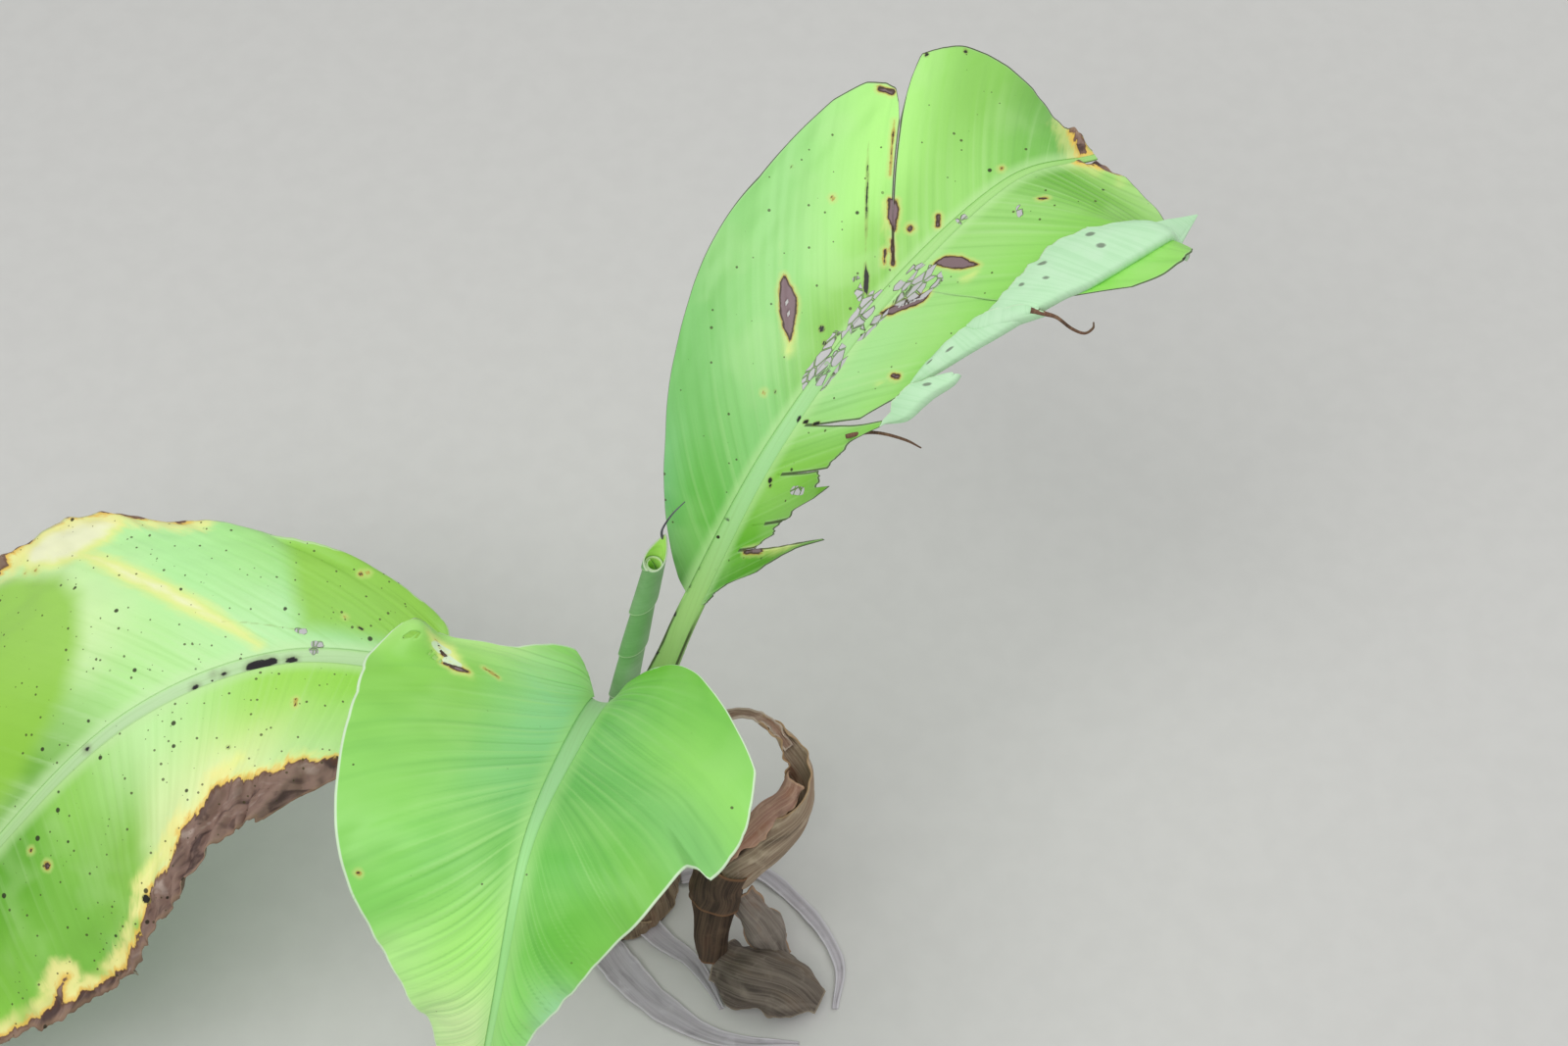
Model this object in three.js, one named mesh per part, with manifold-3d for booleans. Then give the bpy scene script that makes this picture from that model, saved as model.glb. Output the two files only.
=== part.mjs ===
// A young abyssinian banana plant, rooted in level ground. Millimetres, +Z up.
// The origin is the middle of the flat cut through the foot of its stem.
// Three green leaves arch away to the back right, to the front (-Y) and to the left (-X),
// a fourth is still rolled, and the oldest has died and hangs to the ground on the right.
import * as THREE from "three";
import { mergeVertices } from "three/addons/utils/BufferGeometryUtils.js";
import Module from "manifold-3d";

const wasm = await Module();
wasm.setup();

// Clearance between pieces that touch, and the same for limbs with flat sides
const GAP = 0.3;
const LIMB_GAP = 0.8;

// Corners nearer to each other than this are joined
const WELD = 0.002;

// Stem: a swollen foot with a shoulder that carries the leaf sheaths, and the core inside them
const FOOT_RADIUS = 38;
const FOOT_WAIST_RADIUS = 35;
const FOOT_WAIST_SHARE = 0.4;
const SHOULDER_RADIUS = 33;
const SHOULDER_HEIGHT = 22;
const CORE_FOOT_RADIUS = 16;
const CORE_TOP_RADIUS = 7.5;
const CORE_TOP_HEIGHT = 118;
const STEM_SIDES = 24;
const STEM_COLOR = 0x8f9a4e;

// Sheaths, stalks and ribs: one tapering limb a leaf, with a section like a gutter.
// On a thin limb the wall is a share of its radius.
const SHEATH_WALL = 2.4;
const WALL_SHARE = 0.75;
const LEAST_INNER_RADIUS = 0.15;
const SHEATH_ARC_STEPS = 8;
const RIB_ARC_STEPS = 4;
const DRY_ARC_STEPS = 6;
const ROUND_SIDES = 20;
const FEWEST_ROWS = 4;

// Length of one row of faces along each kind of limb
const STALK_STEP = 16;
const MIDRIB_STEP = 20;
const ROLL_STEP = 25;
const THREAD_STEP = 7;
const DEAD_STALK_STEP = 15;
const DRY_STEP = 9;

// How much a limb's heading counts where the limb stands upright
const HEADING_SHARE = 0.05;

// Blades
const BLADE_START = 0.045;
const BLADE_END = 0.965;
const BLADE_ROWS = 15;
const VEIN_COLUMNS = 4;
const VEIN_STEPS = 10;
const SLOPE_STEP = 0.01;

// No even row of a blade lies nearer to a tear than this many times its gape
const TEAR_ROOM = 1.4;

// Finish of living and of dry leaf, and the colour of a living leaf's rib
const LIVING_ROUGHNESS = 0.6;
const DRY_ROUGHNESS = 0.9;
const RIB_COLOR = 0xc9dd8a;

// Green leaves. The path is the middle of the limb, up through the stem and along the blade,
// and the blade starts at its point number bladeIndex. Radius and wrap (half the gutter's arc)
// are given at those points, heading is the way the leaf points from +X, and angles are degrees.
// On each half of the blade, width is the length of a side vein, sweep its angle off the rib and
// turn what the sweep gains by the margin. Rise is the vein's tilt at the rib and bend what the
// tilt gains by the margin. They are given at equal steps from the blade's foot to its tip.
// A tear takes depth, a share of the vein, and is twice gape wide, as a share of the blade.
const BACK_LEAF = {
  name: "back_leaf",
  color: 0x9ccb3f,
  heading: 43,
  thickness: 3.3,
  bladeIndex: 4,
  path: [[0, 0, 21], [1, 0, 80], [12, 8, 138], [32, 22, 186], [50, 37, 230],
    [91, 80, 302], [146, 135, 352], [206, 188, 376], [252, 209, 372]],
  radius: [20, 14.2, 10, 8, 6.6, 5, 4, 2.6, 1.8],
  wrap: [128, 110, 88, 85, 85, 90, 90, 90, 90],
  halves: [
    {
      name: "left",
      side: -1,
      turn: -14,
      width: [0, 70, 124, 133, 108, 47, 20, 0],
      sweep: [55, 45, 45, 60, 85],
      rise: [40, 22, 14, 10, 4],
      bend: [-30, -26, -24, -24, -20],
      tears: [{ at: 0.5, depth: 0.85, gape: 0.012 }],
    },
    {
      name: "right",
      side: 1,
      turn: -14,
      width: [0, 84, 54, 56, 112, 85, 43, 0],
      sweep: [50, 55, 70, 75, 55],
      rise: [40, 24, 18, 12, 4],
      bend: [-20, -14, -12, -12, -20],
      tears: [
        { at: 0.205, depth: 0.75, gape: 0.035 },
        { at: 0.31, depth: 0.7, gape: 0.03 },
        { at: 0.37, depth: 0.85, gape: 0.012 },
        { at: 0.51, depth: 0.85, gape: 0.01 },
      ],
    },
  ],
};

const FRONT_LEAF = {
  name: "front_leaf",
  color: 0x8fce3a,
  heading: -90,
  thickness: 3.3,
  bladeIndex: 3,
  path: [[0, 0, 21], [0, -3, 80], [2, -13, 145], [6, -12, 215],
    [-8, -80, 270], [-21, -146, 300], [-34, -198, 260], [-47, -222, 196]],
  radius: [24.1, 18.4, 10, 6.5, 5, 3, 2.2, 1.6],
  wrap: [124, 106, 88, 85, 90, 90, 90, 90],
  halves: [
    {
      name: "left",
      side: 1,
      turn: -18,
      width: [30, 44, 102, 95, 65, 40, 20, 0],
      sweep: [80, 80, 80, 65, 45],
      rise: [75, 45, 20, 0, -10],
      bend: [-20, -34, -40, -34, -20],
      tears: [],
    },
    {
      name: "right",
      side: -1,
      turn: -18,
      width: [0, 85, 115, 80, 45, 20, 8, 0],
      sweep: [55, 65, 75, 65, 50],
      rise: [65, 30, 10, 0, -5],
      bend: [-30, -46, -52, -44, -20],
      tears: [],
    },
  ],
};

const LEFT_LEAF = {
  name: "left_leaf",
  color: 0xa9cf45,
  heading: 170,
  thickness: 4,
  bladeIndex: 4,
  path: [[0, 0, 21], [0, 0, 70], [-8, 4, 115], [-38, 18, 148], [-81, 33, 165],
    [-160, 26, 194], [-240, -6, 184], [-315, -57, 132], [-384, -109, 58]],
  radius: [28.3, 23.8, 14, 8, 6.5, 5, 4.6, 3.2, 2],
  wrap: [120, 102, 85, 82, 85, 90, 90, 90, 90],
  halves: [
    {
      name: "far",
      side: 1,
      turn: -14,
      width: [0, 42, 76, 136, 132, 115, 75, 0],
      sweep: [100, 80, 85, 100, 105],
      rise: [25, 18, 12, 8, 0],
      bend: [-30, -32, -34, -32, -20],
      tears: [],
    },
    {
      name: "near",
      side: -1,
      turn: -14,
      width: [0, 80, 120, 120, 115, 80, 50, 0],
      sweep: [85, 70, 70, 80, 90],
      rise: [18, 6, 0, 0, 0],
      bend: [-30, -38, -40, -36, -20],
      tears: [{ at: 0.66, depth: 0.2, gape: 0.012 }],
    },
  ],
};

// The back leaf's torn strip is folded over on top of the blade, its pale underside up.
// Crease and margin are given as places on the right half: [along the rib, along the vein].
const FOLD = {
  color: 0xb4e0a4,
  crease: [[0.39, 0.97], [0.44, 0.96], [0.51, 0.89], [0.6, 0.84], [0.72, 1], [0.83, 1.3]],
  margin: [[0.385, 0.88], [0.45, 0.73], [0.54, 0.56], [0.62, 0.5], [0.74, 0.78], [0.845, 1.32]],
  lift: [4.2, 6, 7.5, 7, 6, 6],
  arch: 0.6,
  rows: 16,
  columns: 4,
};

// The youngest leaf, still rolled, with the dry thread at its tip
const ROLLED_LEAF = {
  color: 0x86ad6a,
  path: [[2, 2, 119], [9, 4, 165], [21, 2, 240], [34.5, -3, 325]],
  radius: [5.5, 7, 8, 6.5],
  wrap: [168, 168, 168, 160],
  wall: 2.4,
  heading: 20,
  thread: { path: [[37.5, -6, 322], [41.5, -1, 338], [46.5, 9, 352]], radius: [1.6, 1, 0.6] },
};

// The dead leaf: its sheath, the thin stalk that arches over, and the dried blade below it
const DEAD_LEAF = {
  color: 0x8a6a48,
  heading: 5,
  stalk: {
    path: [[0, 0, 21], [3, 0, 50], [13, 4, 78], [28, 13, 104],
      [48, 24, 123], [70, 31, 132], [88, 24, 131]],
    radius: [33, 29.5, 18, 9, 5.5, 4, 4],
    wrap: [66, 66, 70, 75, 75, 75, 75],
  },
  blade: {
    path: [[89, 23.5, 131], [103, 9, 120], [103, -4, 102], [88, -13, 80], [69, -24, 63]],
    radius: [4, 7, 11, 13.5, 12],
    wrap: [75, 90, 105, 120, 140],
    twist: [0, -20, -50, -80, -100],
  },
  roll: {
    path: [[68, -24.6, 62], [60, -31, 46], [57, -42, 28], [57, -52, 12]],
    radius: [11, 10.5, 9.5, 10],
    wrap: [150, 160, 165, 150],
    twist: [-100, -100, -100, -100],
  },
  hood: {
    path: [[66, -38, 3], [80, -52, 9], [96, -68, 7], [110, -86, 3]],
    radius: [14, 21, 24, 15],
    wrap: [70, 78, 74, 60],
    twist: [180, 172, 188, 180],
  },
};

// Dry straps of older leaves, flat on the ground round the foot. The path is their underside.
const STRAPS = [
  {
    name: "dry_strap_front",
    color: 0x8d8699,
    path: [[-3, -39.5, 0.2], [6, -54, 0.2], [30, -78, 0.2], [62, -96, 0.2], [104, -99, 0.2]],
    width: [18, 20, 15, 8, 4],
  },
  {
    name: "dry_strap_right",
    color: 0xa29bad,
    path: [[38, 2, 0.2], [77, 8, 0.2], [108, -18, 0.2], [126, -50, 0.2], [124, -78, 0.2]],
    width: [8, 10, 11, 7, 4],
  },
];
const STRAP_THICKNESS = 2.2;
const STRAP_ROWS = 12;
const STRAP_COLUMNS = 2;

const UP = new THREE.Vector3(0, 0, 1);
const TURN = THREE.MathUtils.DEG2RAD;

// A smooth value between numbers that stand at equal steps of 0 to 1
function station(values, at) {
  const points = values.map((value, index) => new THREE.Vector2(index, value));
  return new THREE.SplineCurve(points).getPoint(THREE.MathUtils.clamp(at, 0, 1)).y;
}

function curveThrough(points) {
  const corners = points.map((point) => new THREE.Vector3(...point));
  return new THREE.CatmullRomCurve3(corners, false, "catmullrom", 0.5);
}

// Directions on a limb: along it, across it, and the way its gutter opens
function frameOn(curve, at, heading) {
  const along = curve.getTangent(THREE.MathUtils.clamp(at, 0, 1));
  const lean = new THREE.Vector3(Math.cos(heading * TURN), Math.sin(heading * TURN), 0);
  const level = new THREE.Vector3(along.x, along.y, 0).addScaledVector(lean, HEADING_SHARE);
  const across = level.cross(UP).normalize();
  across.addScaledVector(along, -across.dot(along)).normalize();
  const open = new THREE.Vector3().crossVectors(across, along);
  return { along, across, open };
}

// A closed body between two sheets of points that have the same rows and columns
function bodyBetween(front, back) {
  const rows = front.length;
  const columns = front[0].length;
  const positions = [...front, ...back].flat().flatMap((point) => point.toArray());
  const faces = [];
  const at = (sheet, row, column) => (sheet * rows + row) * columns + column;
  const quad = (a, b, c, d) => faces.push(a, b, c, a, c, d);
  for (let row = 0; row < rows - 1; row += 1) {
    for (let column = 0; column < columns - 1; column += 1) {
      quad(at(0, row, column), at(0, row, column + 1),
        at(0, row + 1, column + 1), at(0, row + 1, column));
      quad(at(1, row, column), at(1, row + 1, column),
        at(1, row + 1, column + 1), at(1, row, column + 1));
    }
    const last = columns - 1;
    quad(at(0, row, 0), at(0, row + 1, 0), at(1, row + 1, 0), at(1, row, 0));
    quad(at(0, row, last), at(1, row, last), at(1, row + 1, last), at(0, row + 1, last));
  }
  for (let column = 0; column < columns - 1; column += 1) {
    const end = rows - 1;
    quad(at(0, 0, column), at(1, 0, column), at(1, 0, column + 1), at(0, 0, column + 1));
    quad(at(0, end, column), at(0, end, column + 1), at(1, end, column + 1), at(1, end, column));
  }
  const geometry = new THREE.BufferGeometry();
  geometry.setAttribute("position", new THREE.Float32BufferAttribute(positions, 3));
  geometry.setIndex(faces);
  return turnedOutward(geometry);
}

function turnedOutward(geometry) {
  const position = geometry.getAttribute("position");
  const index = geometry.getIndex().array;
  const corner = (place) => new THREE.Vector3().fromBufferAttribute(position, index[place]);
  let volume = 0;
  for (let face = 0; face < index.length; face += 3) {
    volume += corner(face).dot(corner(face + 1).cross(corner(face + 2)));
  }
  if (volume < 0) {
    geometry.setIndex([...index].reverse());
  }
  return geometry;
}

// A limb with a gutter's section. Grown makes it that much larger all round.
function gutter(limb, grown = 0) {
  const curve = limb.curve ?? curveThrough(limb.path);
  const [from, to] = limb.span ?? [0, 1];
  const length = curve.getLength() * (to - from);
  const rows = Math.max(FEWEST_ROWS, Math.ceil(length / limb.step));
  const outside = [];
  const inside = [];
  for (let row = 0; row <= rows; row += 1) {
    const at = from + ((to - from) * row) / rows;
    const { along, across, open } = frameOn(curve, at, limb.heading);
    const radius = station(limb.radius, at);
    const wall = limb.wall ?? Math.min(SHEATH_WALL, radius * WALL_SHARE);
    const twist = limb.twist ? station(limb.twist, at) * TURN : 0;
    const middle = curve.getPoint(at);
    const ends = row === 0 ? -grown : row === rows ? grown : 0;
    middle.addScaledVector(along, ends);
    const reach = station(limb.wrap, at) * TURN + Math.asin(Math.min(1, grown / radius));
    const arc = (size) => Array.from({ length: limb.arcSteps + 1 }, (_, step) => {
      const angle = reach * ((2 * step) / limb.arcSteps - 1) + twist;
      return middle.clone()
        .addScaledVector(open, -size * Math.cos(angle))
        .addScaledVector(across, size * Math.sin(angle));
    });
    outside.push(arc(radius + grown));
    inside.push(arc(Math.max(LEAST_INNER_RADIUS, radius - wall - grown)));
  }
  return bodyBetween(outside, inside);
}

// A filled round limb: rings round a path, with flat ends
function roundLimb(limb, grown = 0) {
  const curve = limb.curve ?? curveThrough(limb.path);
  const [from, to] = limb.span ?? [0, 1];
  const rows = Math.max(FEWEST_ROWS, Math.ceil((curve.getLength() * (to - from)) / limb.step));
  const positions = [];
  const faces = [];
  for (let row = 0; row <= rows; row += 1) {
    const at = from + ((to - from) * row) / rows;
    const { along, across, open } = frameOn(curve, at, limb.heading);
    const size = station(limb.radius, at) + grown;
    const middle = curve.getPoint(at);
    middle.addScaledVector(along, row === 0 ? -grown : row === rows ? grown : 0);
    for (let side = 0; side < ROUND_SIDES; side += 1) {
      const angle = (2 * Math.PI * side) / ROUND_SIDES;
      const point = middle.clone()
        .addScaledVector(across, size * Math.cos(angle))
        .addScaledVector(open, size * Math.sin(angle));
      positions.push(...point.toArray());
      const next = (side + 1) % ROUND_SIDES;
      const ring = row * ROUND_SIDES;
      if (row < rows) {
        faces.push(ring + side, ring + next, ring + ROUND_SIDES + next);
        faces.push(ring + side, ring + ROUND_SIDES + next, ring + ROUND_SIDES + side);
      }
    }
  }
  const last = rows * ROUND_SIDES;
  for (let side = 1; side < ROUND_SIDES - 1; side += 1) {
    faces.push(0, side + 1, side);
    faces.push(last, last + side, last + side + 1);
  }
  const geometry = new THREE.BufferGeometry();
  geometry.setAttribute("position", new THREE.Float32BufferAttribute(positions, 3));
  geometry.setIndex(faces);
  return turnedOutward(geometry);
}

function toSolid(geometry) {
  return new wasm.Manifold(new wasm.Mesh({
    numProp: 3,
    vertProperties: new Float32Array(geometry.getAttribute("position").array),
    triVerts: new Uint32Array(geometry.getIndex().array),
  }));
}

function toGeometry(solid) {
  const mesh = solid.getMesh();
  const geometry = new THREE.BufferGeometry();
  geometry.setAttribute("position", new THREE.BufferAttribute(mesh.vertProperties, 3));
  geometry.setIndex(new THREE.BufferAttribute(mesh.triVerts, 1));
  return welded(geometry);
}

// Joins corners that a cut leaves next to each other, and drops the faces that close up
function welded(geometry) {
  const merged = mergeVertices(geometry, WELD);
  const index = merged.getIndex().array;
  const kept = [];
  for (let face = 0; face < index.length; face += 3) {
    const [a, b, c] = index.slice(face, face + 3);
    if (a !== b && b !== c && c !== a) {
      kept.push(a, b, c);
    }
  }
  merged.setIndex(kept);
  return merged;
}

// What is left of a body once others are cut from it, without loose scraps
function cutClear(geometry, others) {
  const cut = others.reduce((left, other) => left.subtract(toSolid(other)), toSolid(geometry));
  const largest = cut.decompose().sort((a, b) => b.volume() - a.volume())[0];
  return toGeometry(largest);
}

// Places on a leaf: share 0 to 1 of the blade's length, close together at both its ends
function bladeShare(at) {
  return (1 - Math.cos(Math.PI * at)) / 2;
}

function onPath(leaf, share) {
  const last = leaf.path.length - 1;
  return (leaf.bladeIndex + share * (last - leaf.bladeIndex)) / last;
}

// A point on one half of a blade: from the rib, out along a side vein that bends as it goes
function bladePoint(leaf, half, at, reach) {
  const where = onPath(leaf, bladeShare(at));
  const { along, across, open } = frameOn(leaf.curve, where, leaf.heading);
  const point = leaf.curve.getPoint(where);
  const corner = (leaf.thickness / 2) * Math.abs(Math.sin(station(half.rise, at) * TURN));
  point.addScaledVector(across, half.side * (station(leaf.radius, where) + GAP + corner));
  const stride = (Math.max(0, station(half.width, at)) * reach) / VEIN_STEPS;
  for (let step = 0; step < VEIN_STEPS; step += 1) {
    const share = (reach * (step + 0.5)) / VEIN_STEPS;
    const sweep = (station(half.sweep, at) + half.turn * share) * TURN;
    const tilt = (station(half.rise, at) + station(half.bend, at) * share) * TURN;
    point.addScaledVector(along, stride * Math.cos(sweep));
    point.addScaledVector(across, stride * Math.sin(sweep) * Math.cos(tilt) * half.side);
    point.addScaledVector(open, stride * Math.sin(sweep) * Math.sin(tilt));
  }
  return point;
}

// The direction out of a blade's upper side
function bladeNormal(leaf, half, at, reach) {
  const low = Math.max(SLOPE_STEP, reach - SLOPE_STEP);
  const inner = bladePoint(leaf, half, at, low);
  const outer = bladePoint(leaf, half, at, low + 2 * SLOPE_STEP);
  const before = bladePoint(leaf, half, at - SLOPE_STEP, reach);
  const after = bladePoint(leaf, half, at + SLOPE_STEP, reach);
  const normal = after.sub(before).cross(outer.sub(inner)).normalize();
  return normal.multiplyScalar(-half.side);
}

function raised(leaf, half, at, reach, height) {
  return bladePoint(leaf, half, at, reach)
    .addScaledVector(bladeNormal(leaf, half, at, reach), height);
}

function rowsOf(half) {
  const even = Array.from({ length: BLADE_ROWS + 1 }, (_, row) =>
    THREE.MathUtils.lerp(BLADE_START, BLADE_END, row / BLADE_ROWS));
  const torn = half.tears.flatMap(({ at, gape }) => [at - gape, at, at + gape]);
  const clear = even.filter((row) =>
    half.tears.every(({ at, gape }) => Math.abs(row - at) > gape * TEAR_ROOM));
  return [...clear, ...torn].sort((a, b) => a - b);
}

// How much of the vein's length a tear leaves
function leftByTears(half, at) {
  return half.tears.reduce((left, tear) => {
    const bite = Math.max(0, 1 - Math.abs(at - tear.at) / tear.gape);
    return left * (1 - tear.depth * bite);
  }, 1);
}

function bladeHalf(leaf, half) {
  const rows = rowsOf(half);
  const sheet = (height) => rows.map((at) => {
    const reach = leftByTears(half, at);
    return Array.from({ length: VEIN_COLUMNS + 1 }, (_, column) =>
      raised(leaf, half, at, (reach * column) / VEIN_COLUMNS, height));
  });
  return bodyBetween(sheet(leaf.thickness / 2), sheet(-leaf.thickness / 2));
}

function foldedStrip(leaf, half) {
  const placeOn = (places, share) => new THREE.Vector2(
    station(places.map(([at]) => at), share),
    station(places.map(([, reach]) => reach), share),
  );
  const sheet = (height) => Array.from({ length: FOLD.rows + 1 }, (_, row) => {
    const share = row / FOLD.rows;
    const crease = placeOn(FOLD.crease, share);
    const margin = placeOn(FOLD.margin, share);
    return Array.from({ length: FOLD.columns + 1 }, (__, column) => {
      const over = column / FOLD.columns;
      const place = crease.clone().lerp(margin, over);
      const arch = station(FOLD.lift, share) * (1 + FOLD.arch * Math.sin(Math.PI * over));
      return raised(leaf, half, place.x, place.y, arch + height);
    });
  });
  return bodyBetween(sheet(leaf.thickness / 2), sheet(-leaf.thickness / 2));
}

function strapBody(strap) {
  const curve = curveThrough(strap.path);
  const sheet = (height) => Array.from({ length: STRAP_ROWS + 1 }, (_, row) => {
    const at = row / STRAP_ROWS;
    const { across } = frameOn(curve, at, 0);
    return Array.from({ length: STRAP_COLUMNS + 1 }, (__, column) => {
      const over = (column / STRAP_COLUMNS - 0.5) * station(strap.width, at);
      return curve.getPoint(at).addScaledVector(across, over).addScaledVector(UP, height);
    });
  });
  return bodyBetween(sheet(STRAP_THICKNESS), sheet(0));
}

function stemBody(grown = 0) {
  const profile = [
    [0, 0],
    [FOOT_RADIUS, 0],
    [FOOT_WAIST_RADIUS, SHOULDER_HEIGHT * FOOT_WAIST_SHARE],
    [SHOULDER_RADIUS, SHOULDER_HEIGHT - GAP],
    [CORE_FOOT_RADIUS, SHOULDER_HEIGHT - GAP],
    [CORE_TOP_RADIUS, CORE_TOP_HEIGHT],
    [0, CORE_TOP_HEIGHT],
  ].map(([radius, height]) => new THREE.Vector2(
    radius > 0 ? radius + grown : 0,
    height > 0 ? height + grown : -grown,
  ));
  const geometry = new THREE.LatheGeometry(profile, STEM_SIDES);
  geometry.rotateX(Math.PI / 2);
  geometry.deleteAttribute("normal");
  geometry.deleteAttribute("uv");
  return turnedOutward(welded(geometry));
}

const plant = new THREE.Group();

function addPiece(name, geometry, color, roughness = LIVING_ROUGHNESS) {
  const material = new THREE.MeshStandardMaterial({ color, roughness, metalness: 0 });
  const shown = geometry.toNonIndexed();
  shown.computeVertexNormals();
  const mesh = new THREE.Mesh(shown, material);
  mesh.name = name;
  plant.add(mesh);
}

// The limb of a green leaf in two lengths: stalk with its sheath, and midrib
function limbsOf(leaf) {
  leaf.curve = curveThrough(leaf.path);
  const joint = onPath(leaf, 0);
  const half = (0.5 * GAP) / leaf.curve.getLength();
  const { curve, radius, wrap, heading } = leaf;
  const shape = { curve, radius, wrap, heading };
  return {
    stalk: { ...shape, span: [0, joint - half], step: STALK_STEP, arcSteps: SHEATH_ARC_STEPS },
    midrib: { ...shape, span: [joint + half, 1], step: MIDRIB_STEP, arcSteps: RIB_ARC_STEPS },
  };
}

addPiece("stem", stemBody(), STEM_COLOR);

const rolled = { ...ROLLED_LEAF, step: ROLL_STEP, arcSteps: SHEATH_ARC_STEPS };
const threadLimb = { ...ROLLED_LEAF.thread, heading: ROLLED_LEAF.heading, step: THREAD_STEP };
const thread = roundLimb(threadLimb);
const rolledBody = toSolid(gutter(rolled)).add(toSolid(thread));
addPiece("rolled_leaf", toGeometry(rolledBody), ROLLED_LEAF.color);

// Each sheath is cut clear of those inside it, from the youngest leaf out
const grownStem = stemBody(GAP);
const inner = [roundLimb(rolled, LIMB_GAP)];
const leaves = [BACK_LEAF, FRONT_LEAF, LEFT_LEAF];
const limbs = new Map(leaves.map((leaf) => [leaf, limbsOf(leaf)]));
for (const leaf of leaves) {
  const { stalk, midrib } = limbs.get(leaf);
  addPiece(`${leaf.name}_stalk`, cutClear(gutter(stalk), [grownStem, ...inner]), leaf.color);
  addPiece(`${leaf.name}_midrib`, gutter(midrib), RIB_COLOR);
  inner.push(roundLimb(stalk, LIMB_GAP));
}

for (const leaf of leaves) {
  for (const half of leaf.halves) {
    addPiece(`${leaf.name}_blade_${half.name}`, cutClear(bladeHalf(leaf, half), inner), leaf.color);
  }
}
addPiece("back_leaf_fold", foldedStrip(BACK_LEAF, BACK_LEAF.halves[1]), FOLD.color);

const { heading: deadHeading, color: deadColor } = DEAD_LEAF;
const deadStalk = {
  ...DEAD_LEAF.stalk,
  heading: deadHeading,
  step: DEAD_STALK_STEP,
  arcSteps: SHEATH_ARC_STEPS,
};
const deadStalkBody = cutClear(gutter(deadStalk), [grownStem, ...inner]);
addPiece("dead_leaf_stalk", deadStalkBody, deadColor, DRY_ROUGHNESS);

// Each lower piece of it is cut clear of those above
const above = [gutter(deadStalk, GAP)];
for (const piece of ["blade", "roll", "hood"]) {
  const limb = { ...DEAD_LEAF[piece], heading: deadHeading, step: DRY_STEP, arcSteps: DRY_ARC_STEPS };
  addPiece(`dead_leaf_${piece}`, cutClear(gutter(limb), above), deadColor, DRY_ROUGHNESS);
  above.push(gutter(limb, GAP));
}

for (const strap of STRAPS) {
  addPiece(strap.name, cutClear(strapBody(strap), [grownStem]), strap.color, DRY_ROUGHNESS);
}

export default plant;
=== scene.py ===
"""A young abyssinian banana plant, whole from the flat cut at the ground to its leaf tips.

Three paddle leaves, a leaf that is still rolled and the dry remains of older leaves stand on
a short foot. Sizes are in millimetres and angles in degrees, and the meshes are in metres.
"""

import logging
from collections.abc import Callable
from dataclasses import dataclass, field
from enum import Enum

import bmesh
import bpy
import numpy as np
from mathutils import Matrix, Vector


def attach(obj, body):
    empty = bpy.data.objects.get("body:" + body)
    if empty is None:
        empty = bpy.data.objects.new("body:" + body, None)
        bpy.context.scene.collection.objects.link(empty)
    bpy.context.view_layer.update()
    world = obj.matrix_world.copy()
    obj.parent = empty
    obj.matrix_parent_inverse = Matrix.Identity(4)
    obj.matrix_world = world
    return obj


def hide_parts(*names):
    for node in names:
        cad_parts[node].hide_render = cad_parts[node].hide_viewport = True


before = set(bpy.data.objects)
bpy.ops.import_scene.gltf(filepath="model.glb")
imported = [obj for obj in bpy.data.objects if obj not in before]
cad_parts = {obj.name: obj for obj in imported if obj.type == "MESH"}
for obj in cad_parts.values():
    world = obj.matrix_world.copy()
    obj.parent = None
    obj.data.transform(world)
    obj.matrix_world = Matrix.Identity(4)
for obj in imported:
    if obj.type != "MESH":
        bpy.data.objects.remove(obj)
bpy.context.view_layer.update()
MM = 0.001
METRE = 1000.0
UV_UNIT = 100.0
UV_NAME = "surface"
BODY = "root"
HEADING_SHARE = 0.05
VEIN_STEPS = 20
BLADE_START = 0.045
BLADE_END = 0.965
WELD = 2e-6
# Millimetres that stand for "in no such mark" and for "far from any rim".
OUTSIDE = -50.0
NO_RIM = 50.0
LEAF_IOR = 1.38
Array = np.ndarray
Socket = bpy.types.NodeSocket
Pairs = tuple[tuple[float, float], ...]
Tones = tuple[tuple[float, str], ...]
log = logging.getLogger("banana plant")


def unit(vectors: Array) -> Array:
    """Vectors of length one in the same directions."""
    return vectors / np.maximum(np.linalg.norm(vectors, axis=-1, keepdims=True), 1e-12)


def smoothstep(low: float, high: float, value: Array) -> Array:
    """A soft step from 0 at the low value to 1 at the high one."""
    share = np.clip((value - low) / (high - low), 0, 1)
    return share * share * (3 - 2 * share)


def spline(points: Array, share: Array) -> Array:
    """A smooth line through all the points but the first and the last.

    Args:
        points: corners at equal steps, with one more at each end that only gives the slope.
        share: places from 0 to 1.

    Returns:
        The places' points, in the shape of share with the points' own axes after it.
    """
    spans = len(points) - 3
    along = np.clip(share, 0, 1) * spans
    first = np.minimum(along.astype(int), spans - 1)
    rest = along - first
    if points.ndim > 1:
        rest = rest[..., None]
    before, start, end, after = (points[first + step] for step in range(4))
    slope_in = (end - before) / 2
    slope_out = (after - start) / 2
    cubic = 2 * start - 2 * end + slope_in + slope_out
    square = 3 * end - 3 * start - 2 * slope_in - slope_out
    return ((cubic * rest + square) * rest + slope_in) * rest + start


def station(values: tuple[float, ...], share: Array) -> Array:
    """A smooth value between numbers that stand at equal steps of 0 to 1."""
    numbers = np.asarray(values if len(values) > 1 else values * 2, float)
    return spline(np.concatenate([numbers[:1], numbers, numbers[-1:]]), share)


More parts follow.
